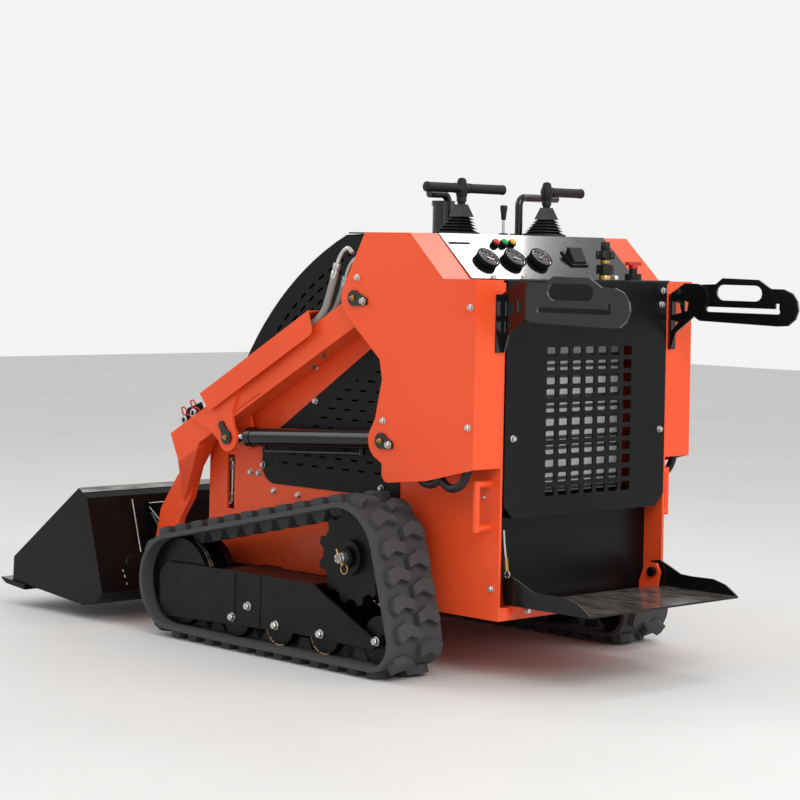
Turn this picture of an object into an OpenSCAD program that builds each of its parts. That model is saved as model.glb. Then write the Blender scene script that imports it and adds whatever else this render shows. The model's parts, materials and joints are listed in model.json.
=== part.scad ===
// Stand-on tracked skid steer loader with a general purpose bucket.
// Lengths are in millimetres. Machine stations: x = 0 is the rear face of the chassis,
// y = 0 the centre line, z = 0 a level a little above the ground. The whole model is then
// moved so that the origin lies on the ground under the middle of its overall length.

/* [Overall] */
// Width over the two tracks
overall_width = 1050; // [1000:5:1120]
// Station of the armrest tips, the rearmost points
armrest_tip_x = -412; // [-450:1:-380]
// Station of the cutting edge, the foremost point
cutting_edge_tip_x = 1793; // [1760:1:1850]

/* [Chassis] */
// Level of the ground at these stations
ground_z = -12; // [-16:1:-8]
// Length of the chassis side plates
chassis_length = 1107; // [1090:1:1115]
// Gap between the side plates and the tracks
track_gap = 33; // [30:1:36]
// Thickness of the side, front and floor plates
plate_t = 8; // [6:1:10]
// Height of the underside of the chassis
belly_z = 140; // [130:1:150]
// Top of the front plate
front_plate_top = 515; // [490:1:530]
// Thickness of folded sheet covers
sheet_t = 4; // [3:0.5:5]
// Height of the rear rail
rear_rail_h = 32; // [26:1:34]
// Width of the fan slot in the side plates
side_slot_w = 30; // [20:1:34]
// Height of the fan slot in the side plates
side_slot_h = 148; // [120:1:160]

/* [Towers] */
// Width of one tower, from the side plate outwards
tower_w = 97; // [95:1:100]
// Thickness of the tower panels
tower_t = 6; // [4:1:6]
// Height of the rear shelf and of the top of the rear flange
shelf_z = 971; // [960:1:980]
// Height of the top of the towers
tower_top_z = 1083; // [1070:1:1095]
// Lower edge of the towers at the rear
tower_low_z = 513; // [500:1:520]
// Station where the sloping dashboard starts
dash_low_x = 112; // [104:1:118]
// Station where the sloping dashboard ends
dash_high_x = 231; // [224:1:238]
// Radius of the pivot lugs on the towers
lug_r = 50; // [44:1:52]

/* [Rear panel] */
// Margin of the upper rear panel inside the side plates
rear_panel_margin = 10; // [9:1:16]
// Lower edge of the upper rear panel
rear_panel_low_z = 388; // [380:1:400]
// Columns of cooling holes
grille_cols = 7; // [5:1:7]
// Rows of cooling holes
grille_rows = 11; // [8:1:11]
// Spacing of the columns
grille_pitch_y = 48; // [44:1:50]
// Spacing of the rows
grille_pitch_z = 34.7; // [32:0.1:36]
// Width of one hole
grille_hole_w = 33; // [26:1:36]
// Height of one hole
grille_hole_h = 23; // [18:1:25]
// Depth of the recess under the upper panel
recess_depth = 60; // [50:1:66]

/* [Hood] */
// Radius of the hood's curve
hood_r = 881; // [870:1:890]
// Margin of the hood inside the side plates
hood_margin = 12; // [9:1:20]

/* [Tracks] */
// Width of one track
track_w = 180; // [170:1:182]
// Thickness of the belt
belt_t = 12; // [10:0.5:14]
// Height of the tread lugs
lug_h = 20; // [16:0.5:22]
// Number of shoes in one track
shoes = 34; // [32:1:35]
// Height of the inner drive lugs
drive_lug_h = 26; // [20:1:28]
// Width of the inner drive lugs
drive_lug_w = 46; // [40:1:48]
// Station of the drive sprocket
sprocket_x = 350; // [345:1:355]
// Radius of the belt's inner face on the sprocket
sprocket_r = 126; // [125:1:128]
// Station of the front idler
idler_x = 1014; // [1005:1:1020]
// Radius of the front idler
idler_r = 116; // [112:1:118]
// Radius of the bottom rollers
roller_r = 53; // [50:1:56]
// Teeth of the sprocket
sprocket_teeth = 12; // [10:1:13]

/* [Lift arms] */
// Gap between the side plates and the arm beams
beam_gap = 26; // [24:1:28]
// Width of the arm beams
beam_w = 56; // [52:1:58]
// Depth of the beams
beam_depth = 75; // [70:1:80]
// Wall of the beams
beam_wall = 6; // [4:1:8]
// Thickness of the ears and leg plates
ear_t = 8; // [6:1:8]
// Diameter of the cross tube
cross_tube_d = 54; // [48:1:56]
// Diameter of the arm pivot pins
arm_pin_d = 32; // [28:1:36]
// Radial clearance of the pins
pin_fit = 0.05; // [0.02:0.01:0.1]
// Thickness of the legs at the front of the arms
leg_t = 20; // [16:1:22]

/* [Lift cylinders] */
// Outside diameter of the lift cylinder barrels
lift_barrel_d = 50; // [44:1:52]
// Diameter of the lift cylinder rods
lift_rod_d = 28; // [22:1:30]
// Length of the barrel ahead of its pin
lift_barrel_l = 560; // [550:1:566]
// Diameter of the cylinder pins
cyl_pin_d = 25; // [22:1:28]

/* [Tilt cylinder] */
// Outside diameter of the tilt cylinder barrel
tilt_barrel_d = 50; // [46:1:52]
// Diameter of the tilt cylinder rod
tilt_rod_d = 28; // [24:1:30]
// Length of the tilt barrel ahead of its pin
tilt_barrel_l = 238; // [225:1:245]

/* [Bucket] */
// Width over the bucket's side plates
bucket_w = 1050; // [1000:5:1080]
// Thickness of the bucket's shell
bucket_t = 6; // [5:0.5:8]
// Thickness of the cutting edge
cutting_edge_t = 14; // [12:1:16]
// Overhang of the cutting edge beside the side plates
cutting_edge_side = 8; // [4:1:10]

/* [Platform] */
// Margin of the standing platform inside the side plates
platform_margin = 30; // [28:1:40]
// Station of the platform's rear edge
platform_rear_x = -271; // [-290:1:-250]
// Thickness of the platform's sheet
platform_t = 5; // [4:0.5:6]
// Height of the underside of the platform
platform_z = 178; // [172:1:182]

/* [Controls] */
// Height of the grip bars over the towers
grip_rise = 120; // [112:1:130]
// Diameter of the grip bars
grip_d = 24; // [20:1:26]
// Side of the square foot of the lever boots
boot_w = 84; // [76:1:90]

/* [Hidden] */

// Colours of the finishes
orange = "orangered";
black = "#222224";
rubber = "#2b2b2e";
zinc = "silver";

// The middle of the overall length goes to the origin
x_mid = (cutting_edge_tip_x + armrest_tip_x) / 2;

// Widths that follow the width over the tracks
chassis_half_w = overall_width / 2 - track_w - track_gap;
tower_half_w = chassis_half_w + tower_w;
rear_panel_half_w = chassis_half_w - rear_panel_margin;
hood_half_w = chassis_half_w - hood_margin;
platform_half_w = chassis_half_w - platform_margin;
beam_in_y = chassis_half_w + beam_gap;
beam_out_y = beam_in_y + beam_w;

// Joint axes, as [x, z] stations
pivot_arm = [428, 916];
pivot_lift_base = [318, 562];
pivot_lift_eye = [928, 528];
pivot_tool = [1285, 150];
pivot_tilt_base = [1192, 545];
pivot_tilt_eye = [1306, 240];
pivot_platform = [-8, 218];

// Ends of the bucket's straight back, as [x, z] stations
bucket_rear = [1317, 73];
bucket_back_top = [1396, 330];

// Moves a machine station to the model's frame
module placed() {
    translate([-x_mid, 0, -ground_z]) children();
}

// Extrudes an [x, z] outline from y0 to y1
module slab(y0, y1) {
    translate([0, y1, 0]) rotate([90, 0, 0]) linear_extrude(height = y1 - y0) children();
}

// A cylinder along y at station p = [x, z], from y0 to y1
module bar_y(p, r, y0, y1, fn = 48) {
    translate([p[0], y1, p[1]]) rotate([90, 0, 0]) cylinder(r = r, h = y1 - y0, $fn = fn);
}

// A round rod between two points
module rod(a, b, r, fn = 24) {
    v = b - a;
    l = norm(v);
    translate(a) rotate([0, acos(v[2] / l), atan2(v[1], v[0])]) cylinder(r = r, h = l, $fn = fn);
}

// Mirrors to the right side when s is -1
module on_side(s) {
    scale_y = s;
    if (scale_y < 0) mirror([0, 1, 0]) children();
    else children();
}

// Points on an arc with centre c and radius r, from angle a0 to a1 in n steps
function arc_pts(c, r, a0, a1, n) =
    [for (i = [0:n]) c + r * [cos(a0 + (a1 - a0) * i / n), sin(a0 + (a1 - a0) * i / n)]];

// Chassis plates
front_slot_x = 1001;
front_slot_z = 323;
corner_r = 40;

module side_plate_outline() {
    difference() {
        polygon(concat(
            [[0, belly_z], [chassis_length, belly_z]],
            arc_pts([chassis_length - corner_r, front_plate_top - corner_r], corner_r, 0, 55, 5),
            [[985, 640], [560, 905], [dash_high_x + 60, tower_top_z - 6],
             [dash_high_x, tower_top_z - 6], [dash_low_x, shelf_z - 6], [0, shelf_z - 6]]));
        translate([front_slot_x, front_slot_z]) square([side_slot_w, side_slot_h]);
        // window behind the side guard
        offset(delta = -22) side_guard_outline();
        translate([sprocket_x, sprocket_z]) circle(r = motor_hub_r + 1, $fn = 64);
        translate(pivot_arm) circle(d = arm_pin_d, $fn = 64);
        translate(pivot_lift_base) circle(d = cyl_pin_d, $fn = 64);
    }
}

module side_plate(s) {
    color(orange) placed() on_side(s)
        slab(chassis_half_w - plate_t, chassis_half_w) side_plate_outline();
}

// Side guards, perforated sheets over the windows of the side plates
module side_guard_outline() {
    polygon(concat(
        arc_pts([830, 460], 54, -80, 15, 6),
        arc_pts([846, 500], 36, 15, 55, 3),
        [[804, 563], [512, 753], [430, 806], [350, 806], [350, 410], [568, 408]]));
}

guard_slot_l = 26;
guard_slot_h = 5;

module guard_slots(x0, x1, z0, z1, pitch_x, pitch_z) {
    for (i = [0:floor((z1 - z0) / pitch_z)])
        for (j = [0:floor((x1 - x0) / pitch_x)])
            translate([x0 + j * pitch_x + (i % 2) * pitch_x / 2, z0 + i * pitch_z])
                square([guard_slot_l, guard_slot_h], center = true);
}

module side_guards() {
    color(black) placed() for (s = [1, -1]) on_side(s)
        slab(chassis_half_w, chassis_half_w + 3) difference() {
            side_guard_outline();
            intersection() {
                offset(delta = -40) side_guard_outline();
                guard_slots(400, 860, 440, 780, 60, 26);
            }
        }
}

// Floor, front plate and rear rail
inner_half_w = chassis_half_w - plate_t;

module floor_plate() {
    color(orange) placed() {
        translate([0, -inner_half_w, belly_z])
            cube([chassis_length - plate_t, 2 * inner_half_w, plate_t]);
        translate([0, -inner_half_w, belly_z + plate_t])
            cube([plate_t, 2 * inner_half_w, rear_rail_h - plate_t]);
        // hinge ears of the platform
        for (s = [1, -1]) on_side(s)
            difference() {
                slab(hinge_ear_y0, hinge_ear_y1) difference() {
                    polygon([[plate_t + 30, belly_z + plate_t], [0, belly_z + plate_t],
                        [-22, belly_z + rear_rail_h + 10], pivot_platform + [-22, 0],
                        pivot_platform + [-10, 22], pivot_platform + [26, 22], [plate_t + 30, 190]]);
                    translate(pivot_platform) circle(d = hinge_pin_d, $fn = 48);
                }
                // the ear stands on the rail
                translate([0, 0, belly_z + plate_t - 1]) cube([plate_t, 400, 0.5]);
            }
    }
}

module front_plate() {
    color(orange) placed()
        translate([chassis_length - plate_t, -inner_half_w, belly_z])
            cube([plate_t, 2 * inner_half_w, front_plate_top - belly_z]);
}

// Rear panels
grille_y0 = -(grille_cols - 1) * grille_pitch_y / 2 + 5;
grille_z0 = 436 + grille_hole_h / 2;

module rounded_rect(w, h, r) {
    union() {
        square([w - 2 * r, h], center = true);
        square([w, h - 2 * r], center = true);
        for (i = [-1, 1])
            for (j = [-1, 1])
                translate([i * (w / 2 - r), j * (h / 2 - r)]) circle(r = r, $fn = 16);
    }
}

module rear_panel() {
    color(black) placed() {
        rotate([90, 0, 0]) rotate([0, -90, 0])
            linear_extrude(height = sheet_t) difference() {
                // drawn as [-y, z] seen from behind
                polygon([[-rear_panel_half_w, shelf_z - 1], [-rear_panel_half_w, 420],
                    [-fold_half_w, rear_panel_low_z], [fold_half_w, rear_panel_low_z],
                    [rear_panel_half_w, 420], [rear_panel_half_w, shelf_z - 1]]);
                for (i = [0:grille_cols - 1])
                    for (j = [0:grille_rows - 1])
                        translate([grille_y0 + i * grille_pitch_y, grille_z0 + j * grille_pitch_z])
                            rounded_rect(grille_hole_w, grille_hole_h, 5);
            }
    }
}

// Recessed panel with the fold that comes out to the upper panel's lower edge
fold_half_w = rear_panel_half_w - 32;

module lower_rear_panel() {
    color(black) placed() {
        translate([recess_depth, -inner_half_w, belly_z + plate_t])
            cube([sheet_t, 2 * inner_half_w, 290]);
        translate([0, -fold_half_w, rear_panel_low_z])
            cube([recess_depth, 2 * fold_half_w, sheet_t]);
    }
}

// Towers
tower_in_y = chassis_half_w;
tower_front_x = 395;

module tower_outline() {
    difference() {
        union() {
            polygon([[0, shelf_z], [dash_low_x, shelf_z], [dash_high_x, tower_top_z],
                [tower_front_x, tower_top_z], [474, 935], [474, 890], [448, 862],
                [332, 765], [322, 715], [344, 617], [366, 575], [362, 540], [330, 512],
                [317, 505], [317, 475], [306, 461], [294, 459], [160, 474], [0, tower_low_z]]);
            translate(pivot_arm) circle(r = lug_r, $fn = 64);
            translate(pivot_lift_base) circle(r = lug_r, $fn = 64);
        }
        translate(pivot_arm) circle(d = arm_pin_d, $fn = 64);
        translate(pivot_lift_base) circle(d = cyl_pin_d, $fn = 64);
    }
}

module tower(s) {
    color(orange) placed() on_side(s) {
        slab(tower_half_w - tower_t, tower_half_w) tower_outline();
        // folded rim: rear flange, shelf, slope and top
        slab(tower_in_y, tower_half_w - tower_t) polygon([
            [0, tower_low_z], [0, shelf_z], [dash_low_x, shelf_z], [dash_high_x, tower_top_z],
            [tower_front_x, tower_top_z], [tower_front_x, tower_top_z - tower_t],
            [dash_high_x + 3, tower_top_z - tower_t], [dash_low_x + 3, shelf_z - tower_t],
            [tower_t, shelf_z - tower_t], [tower_t, tower_low_z]]);
    }
}

// Dashboard
dash_half_w = chassis_half_w - 0.3;
dash_front_x = 560;

shelf_top_z = shelf_z + sheet_t - 1;
dash_top_z = tower_top_z + 1;
slope_run = dash_high_x - dash_low_x;
slope_rise = dash_top_z - shelf_top_z;

module dashboard() {
    color(black) placed() difference() {
        slab(-dash_half_w, dash_half_w) polygon([
            [-sheet_t, shelf_z - 1], [-sheet_t, shelf_top_z],
            [dash_low_x - 2, shelf_top_z], [dash_high_x - 2, dash_top_z],
            [dash_front_x, dash_top_z], [dash_front_x, dash_top_z - sheet_t],
            [dash_high_x, dash_top_z - sheet_t], [dash_low_x, shelf_z - 1]]);
        // slot in the upper left corner of the slope
        on_slope(0.78, 225) translate([-4, 0, -10]) cube([8, 78, 20]);
    }
}

// Places a child with +z out of the dashboard, at a share t of the slope and at y
module on_slope(t, y) {
    translate([dash_low_x - 2 + slope_run * t, y, shelf_top_z + slope_rise * t])
        rotate([0, -atan2(slope_rise, slope_run), 0]) children();
}

// Gauges and lamps, as [share of the slope, y]
gauge_table = [[0.385, 215], [0.395, 116], [0.405, 18]];
lamp_table = [[0.765, 138], [0.77, 107], [0.775, 76]];

module gauges() {
    color(black) placed() {
        for (g = gauge_table) on_slope(g[0], g[1]) {
            cylinder(r = 27, h = 5, $fn = 48);
            translate([0, 0, 5]) difference() {
                cylinder(r = 31, h = 9, $fn = 48);
                translate([0, 0, 5]) cylinder(r = 27, h = 5, $fn = 48);
            }
        }
        for (l = lamp_table) on_slope(l[0], l[1]) {
            cylinder(r = 7, h = 3, $fn = 32);
            translate([0, 0, 3]) cylinder(r = 10, h = 5, $fn = 32);
        }
        // rocker switch with its wide paddle
        on_slope(0.46, -126) {
            translate([-27, -33, 0]) cube([54, 66, 5]);
            translate([0, 24, 0]) rotate([90, 0, 0]) linear_extrude(height = 48)
                polygon([[-22, 4], [-20, 10], [18, 24], [25, 20], [16, 4]]);
        }
    }
}

// Hood
hood_rear_x = 519;
hood_top_z = dash_top_z - sheet_t - 0.3;
hood_c = [226, tower_top_z - 812.4];
hood_front_a = 19;
hood_rear_a = 66.3;
hood_wall = 3;

function hood_profile(inset) = concat(
    [[hood_rear_x, tower_top_z - 300]],
    [[hood_rear_x, hood_top_z - inset]],
    arc_pts(hood_c, hood_r - inset, hood_rear_a, hood_front_a, 16));

module hood_outline(inset) {
    polygon(concat(hood_profile(inset), [[960, 560], [560, 810]]));
}

module hood() {
    color(black) placed() difference() {
        slab(-hood_half_w, hood_half_w) hood_outline(0);
        slab(-hood_half_w + hood_wall, hood_half_w - hood_wall)
            translate([-8, -14]) hood_outline(hood_wall);
    }
}

// Power unit, a plain mass
engine_x = 430;
engine_front_gap = 169;

module engine_block() {
    color(zinc) placed() translate([engine_x, -210, belly_z + plate_t])
        cube([chassis_length - plate_t - engine_front_gap - engine_x, 420, 470]);
}

module radiator() {
    color("gray") placed() {
        translate([70, -220, belly_z + plate_t]) cube([60, 30, 680]);
        translate([70, 190, belly_z + plate_t]) cube([60, 30, 680]);
        translate([70, -190, 410]) cube([60, 380, 400]);
    }
}

// Levers
lever_x = 330;
grip_z = tower_top_z + grip_rise;
// Levers, as [y of the stem, y of the bar's right end, y of its left end, lean of the boot]
lever_table = [
    [130, -24, 259, 16],
    [-195, -333, -183, 8]];
boot_foot_z = dash_top_z;
boot_rim = 5;
boot_folds = 5;
fold_h = 8;
fold_step = 7;

// A square rubber boot with bellows that lean back to the stem
module boot(y, lean) {
    translate([lever_x + lean, y, boot_foot_z])
        translate([-boot_w / 2, -boot_w / 2, 0]) cube([boot_w, boot_w, boot_rim]);
    for (i = [0:boot_folds - 1])
        translate([lever_x + lean * (1 - i / boot_folds), y, boot_foot_z + boot_rim + i * fold_h])
            rotate([0, 0, 45])
                cylinder(r1 = (boot_w - 4 - i * fold_step) / sqrt(2),
                    r2 = (boot_w - 26 - i * fold_step) / sqrt(2), h = fold_h, $fn = 4);
    translate([lever_x, y, boot_foot_z + boot_rim + boot_folds * fold_h])
        rotate([0, 0, 45]) cylinder(r1 = 46 / sqrt(2), r2 = 24 / sqrt(2), h = 32, $fn = 4);
}

module joystick(row) {
    color(black) placed() {
        boot(row[0], row[3]);
        translate([lever_x, row[0], boot_foot_z + 70])
            cylinder(r = 9, h = grip_z - boot_foot_z - 70, $fn = 32);
        translate([lever_x, row[0], boot_foot_z + 84]) cylinder(r = 13, h = 12, $fn = 32);
        translate([lever_x, row[0], grip_z - 17]) cylinder(r = 14, h = 28, $fn = 32);
        translate([lever_x, row[0], grip_z + 11]) sphere(r = 11, $fn = 32);
        rod([lever_x, row[1], grip_z], [lever_x, row[2], grip_z], grip_d / 2, 32);
    }
}

// Bent bars ahead of the levers, as [y of the upright, y of the outer end]
rest_table = [[108, 178], [-163, -312]];
rest_x = 401;
rest_r = 10.5;
rest_bend = 22;
rest_z = dash_top_z + 104;
rest_foot = [24, 40, 6];
canister_x = 446;
canister_y = 80;

module hand_rest(y, y_end) {
    outwards = sign(y_end - y);
    translate([rest_x - 11, y - rest_foot[1] / 2, dash_top_z]) cube(rest_foot);
    rod([rest_x, y, dash_top_z + rest_foot[2]], [rest_x, y, rest_z - rest_bend], rest_r, 32);
    translate([rest_x, y, rest_z - rest_bend]) scale([1, outwards, 1])
        translate([0, rest_bend, 0]) rotate([90, 0, 90]) rotate([0, 0, 90])
            rotate_extrude(angle = 90, $fn = 48) translate([rest_bend, 0]) circle(r = rest_r, $fn = 32);
    rod([rest_x, y + outwards * rest_bend, rest_z], [rest_x, y_end, rest_z], rest_r, 32);
}

module hand_rests() {
    color(black) placed() {
        for (row = rest_table) hand_rest(row[0], row[1]);
        // canister beside the left bar
        translate([canister_x, canister_y, dash_top_z]) cylinder(r = 28, h = 74, $fn = 48);
        translate([canister_x, canister_y, dash_top_z + 74]) cylinder(r = 31, h = 14, $fn = 48);
    }
}

throttle_x = 290;
throttle_y = 13;

module throttle_lever() {
    color(black) placed() {
        translate([throttle_x, throttle_y, dash_top_z]) cylinder(r = 12, h = 5, $fn = 32);
        translate([throttle_x, throttle_y, dash_top_z + 5]) cylinder(r = 3, h = 37, $fn = 16);
        translate([throttle_x, throttle_y, dash_top_z + 42]) cylinder(r1 = 6, r2 = 9, h = 33, $fn = 32);
    }
}

module valve_and_switch() {
    color(black) placed() {
        // star knob valve
        translate([60, -128, shelf_top_z]) {
            cylinder(r = 14, h = 14, $fn = 6);
            translate([0, 0, 14]) cylinder(r = 24, h = 24, $fn = 6);
            translate([0, 0, 38]) cylinder(r = 11, h = 14, $fn = 32);
            translate([0, 0, 52]) cylinder(r = 22, h = 22, $fn = 6);
            translate([0, 0, 74]) cylinder(r = 11, h = 22, $fn = 32);
        }
        // battery switch key
        translate([56, -235, shelf_top_z]) {
            cylinder(r = 22, h = 16, $fn = 32);
            translate([0, 0, 16]) cylinder(r = 11, h = 22, $fn = 32);
            translate([-7, -24, 38]) cube([14, 48, 8]);
        }
    }
}

// Armrests: a bracket plate bolted to the tower flange and a rest plate outside it
bracket_y = chassis_half_w + 2;
bracket_t = 5;
pad_t = 6;
pad_y = bracket_y + bracket_t;

// Outline with two half round ends
function stadium(w, h) = concat(
    arc_pts([(w - h) / 2, 0], h / 2, -90, 90, 6), arc_pts([-(w - h) / 2, 0], h / 2, 90, 270, 6));

module armrest_bracket_outline() {
    difference() {
        polygon(concat([[0, 795], [0, 936], [-52, 968]],
            arc_pts([-92, 932], 36, 90, 250, 8),
            [[-66, 868], [-24, 838], [-10, 795]]));
        polygon([[-10, 842], [-10, 872], [-34, 866]]);
        polygon([[-12, 884], [-12, 920], [-36, 916], [-44, 892]]);
        polygon([[-52, 924], [-52, 896], [-62, 896], [-66, 918]]);
    }
}

module armrest_plate_outline() {
    difference() {
        polygon([[-84, 880], [-84, 948], [-104, 966], [-150, 968], [-172, 984], [-286, 982],
            [-325, 960], [-365, 960], [-392, 950], [-408, 930], [armrest_tip_x, 908],
            [-402, 884], [-380, 868], [-350, 866], [-99, 872]]);
        // hand hole
        translate([-226, 947]) polygon(stadium(146, 40));
        // adjusting slot with its hook
        translate([-238, 903]) polygon(stadium(236, 13));
        translate([-347, 910]) square([13, 26], center = true);
    }
}

module armrest(s) {
    color(black) placed() on_side(s) {
        slab(bracket_y, bracket_y + bracket_t) armrest_bracket_outline();
        slab(pad_y, pad_y + pad_t) armrest_plate_outline();
        // foot of the bracket on the tower flange
        translate([-sheet_t, bracket_y, 795]) cube([sheet_t, 26, 141]);
    }
}

// Tie down handles on the rear of the side plates
handle_r = 9;
handle_x = 35;
handle_zs = [366, 473];
handle_out = 46;

module tie_down_handles() {
    color(orange) placed() for (s = [1, -1]) on_side(s) {
        for (z = handle_zs)
            rod([handle_x, chassis_half_w, z], [handle_x, chassis_half_w + handle_out, z], handle_r);
        rod([handle_x, chassis_half_w + handle_out, handle_zs[0] - handle_r],
            [handle_x, chassis_half_w + handle_out, handle_zs[1] + handle_r], handle_r);
    }
}

// Chassis pins with their retaining flags
flag_t = 6;

module flag(p, bolt_at) {
    // flat flag welded to the pin's head, held by one bolt
    slab(tower_half_w, tower_half_w + flag_t) union() {
        translate(p) circle(d = arm_pin_d + 8, $fn = 48);
        polygon([p + [0, 20], bolt_at + [-6, 9], bolt_at + [-10, -9], p + [0, -20]]);
        translate(bolt_at) circle(r = 11, $fn = 32);
    }
}

module chassis_pins() {
    color(zinc) placed() for (s = [1, -1]) on_side(s) {
        bar_y(pivot_arm, arm_pin_d / 2, inner_half_w, tower_half_w);
        flag(pivot_arm, [390, 909]);
        bar_y(pivot_lift_base, cyl_pin_d / 2, inner_half_w, tower_half_w);
        flag(pivot_lift_base, [287, 554]);
        // hinge bolts of the platform
        bar_y(pivot_platform, hinge_pin_d / 2, hinge_ear_y0 - 10, platform_half_w + 4);
        bar_y(pivot_platform, hinge_pin_d / 2 + 5, hinge_ear_y0 - 10, hinge_ear_y0);
    }
}

// Track geometry
track_out_y = overall_width / 2;
track_in_y = track_out_y - track_w;
belt_low_z = ground_z + lug_h + belt_t;
sprocket_z = 273;
idler_rise = 4;
idler_z = belt_low_z + idler_r + idler_rise;
roller_z = belt_low_z + roller_r;
rear_roller_r = 61;
rear_roller = [228, belt_low_z + rear_roller_r, rear_roller_r];
roller_xs = [432, 603, 775];

// Wheels that the belt wraps, anticlockwise from the rear roller: [x, z, radius]
wheels = [
    rear_roller,
    [roller_xs[2], roller_z, roller_r],
    [idler_x, idler_z, idler_r],
    [sprocket_x, sprocket_z, sprocket_r]];

function wheel(i) = wheels[(i + len(wheels)) % len(wheels)];
function ctr(w) = [w[0], w[1]];
// Angle of the outward normal on the straight run from wheel i to the next
function run_normal(i) =
    let (a = wheel(i), b = wheel(i + 1), v = ctr(b) - ctr(a))
    atan2(v[1], v[0]) - acos((a[2] - b[2]) / norm(v));
function unit(a) = [cos(a), sin(a)];
function wrap(a) = a < 0 ? wrap(a + 360) : (a >= 360 ? wrap(a - 360) : a);
// Angle that the belt turns on wheel i
function turn(i) = wrap(run_normal(i) - run_normal(i - 1));
function arc_len(i, off) = (wheel(i)[2] + off) * turn(i) * PI / 180;
function run_len(i) =
    let (a = wheel(i), b = wheel(i + 1), v = ctr(b) - ctr(a))
    sqrt(v * v - pow(a[2] - b[2], 2));
belt_mid = belt_t / 2;
function loop_len(i = 0) = i >= len(wheels) ? 0 : arc_len(i, belt_mid) + run_len(i) + loop_len(i + 1);
belt_len = loop_len();
shoe_pitch = belt_len / shoes;

// Station on the belt's middle line: [x, z, angle of the outward normal]
function belt_at(s, i = 0) =
    let (la = arc_len(i, belt_mid), lr = run_len(i), w = wheel(i))
    s < la
        ? let (a = run_normal(i - 1) + s / la * turn(i))
            concat(ctr(w) + (w[2] + belt_mid) * unit(a), [a])
        : s < la + lr
            ? let (a = run_normal(i), p = ctr(w) + (w[2] + belt_mid) * unit(a))
                concat(p + (s - la) * [-sin(a), cos(a)], [a])
            : belt_at(s - la - lr, i + 1);

// Outline of the belt at an offset from its inner face, with steps on each arc
arc_step = 8;
function belt_loop(off) = [for (i = [0:len(wheels) - 1])
    let (n = max(1, ceil(turn(i) / arc_step)))
    for (j = [0:n])
        let (a = run_normal(i - 1) + turn(i) * j / n)
        ctr(wheel(i)) + (wheel(i)[2] + off) * unit(a)];

// Places a child on the belt, x along the travel, y across, z outwards
module at_belt(s) {
    q = belt_at((s + 2 * belt_len) % belt_len);
    translate([q[0], 0, q[1]]) rotate([0, 90 - q[2], 0]) children();
}

// One tread lug, a curved scale from the belt's margin to its centre rail
lug_base = belt_mid - 2;
lug_margin = 16;
centre_rail_w = 12;

module tread_lug(outer) {
    l = shoe_pitch / 2;
    w = (track_w - centre_rail_w) / 2;
    across = outer ? -1 : 1;
    edge = outer ? track_out_y : track_in_y;
    translate([0, edge, lug_base]) scale([1, across, 1])
        linear_extrude(height = lug_h + 2)
            polygon([[-l * 0.5, lug_margin + 8], [-l * 0.2, lug_margin], [l * 0.6, lug_margin + 3],
                [l * 0.88, w * 0.58], [l * 0.4, w + 3], [-l * 0.35, w + 3], [-l * 0.05, w * 0.66]]);
}

// Base and tip of a drive lug along the travel
drive_lug_base = 56;
drive_lug_tip = 30;

module drive_lug() {
    translate([0, wheel_mid_y + drive_lug_w / 2, 0]) rotate([90, 0, 0])
        linear_extrude(height = drive_lug_w)
            polygon([[-drive_lug_base / 2, -belt_mid + 1], [-drive_lug_tip / 2, -belt_mid - drive_lug_h],
                [drive_lug_tip / 2, -belt_mid - drive_lug_h], [drive_lug_base / 2, -belt_mid + 1]]);
}

module track(s) {
    color(rubber) placed() on_side(s) {
        slab(track_in_y, track_out_y) difference() {
            polygon(belt_loop(belt_t));
            polygon(belt_loop(0));
        }
        for (k = [0:shoes - 1]) {
            at_belt(k * shoe_pitch) tread_lug(true);
            at_belt((k + 0.5) * shoe_pitch) tread_lug(false);
            at_belt((k + 0.25) * shoe_pitch) drive_lug();
        }
    }
}

// Track frames
frame_margin = 25;
frame_out_y = track_out_y - frame_margin;
frame_in_y = track_in_y + frame_margin;

module frame_outline() {
    polygon([[1058, 46], [1083, 75], [1083, 158], [1054, 188], [767, 194], [463, 195], [415, 169],
        [221, 79], [236, 60], [280, 58], [539, 62], [712, 55], [1040, 43]]);
}

module track_frame(s) {
    color(black) placed() on_side(s) {
        for (y = [frame_in_y, frame_out_y - plate_t])
            slab(y, y + plate_t) difference() {
                frame_outline();
                for (p = axle_points) translate(p) circle(r = axle_r, $fn = 32);
            }
        // top cover between the plates
        slab(frame_in_y + plate_t, frame_out_y - plate_t)
            polygon([[466, 188], [466, 194], [767, 193], [840, 192], [840, 186], [767, 187]]);
        // arms that carry the frame from the chassis
        for (x = [560, 800])
            translate([x, chassis_half_w, 150]) cube([60, frame_in_y - chassis_half_w, 36]);
    }
}

axle_r = 12;
axle_points = concat([[rear_roller[0], rear_roller[1]], [idler_x, idler_z]],
    [for (x = roller_xs) [x, roller_z]]);
wheel_gap = 6;
wheel_clear = 0.5;
groove_half_w = drive_lug_w / 2 + 4;
wheel_mid_y = (track_in_y + track_out_y) / 2;
wheel_in_y = frame_in_y + plate_t + wheel_gap;
wheel_out_y = frame_out_y - plate_t - wheel_gap;

// A wheel with a groove that lets the drive lugs pass
module grooved_wheel(p, r, groove_r) {
    bar_y(p, r, wheel_in_y, wheel_mid_y - groove_half_w, 64);
    bar_y(p, r, wheel_mid_y + groove_half_w, wheel_out_y, 64);
    bar_y(p, groove_r, wheel_mid_y - groove_half_w, wheel_mid_y + groove_half_w, 48);
    bar_y(p, axle_r, frame_in_y, frame_out_y, 32);
    for (y = [[frame_in_y + plate_t, wheel_in_y], [wheel_out_y, frame_out_y - plate_t]])
        bar_y(p, axle_r + 4, y[0], y[1], 32);
}

roller_core_r = 18;

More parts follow.
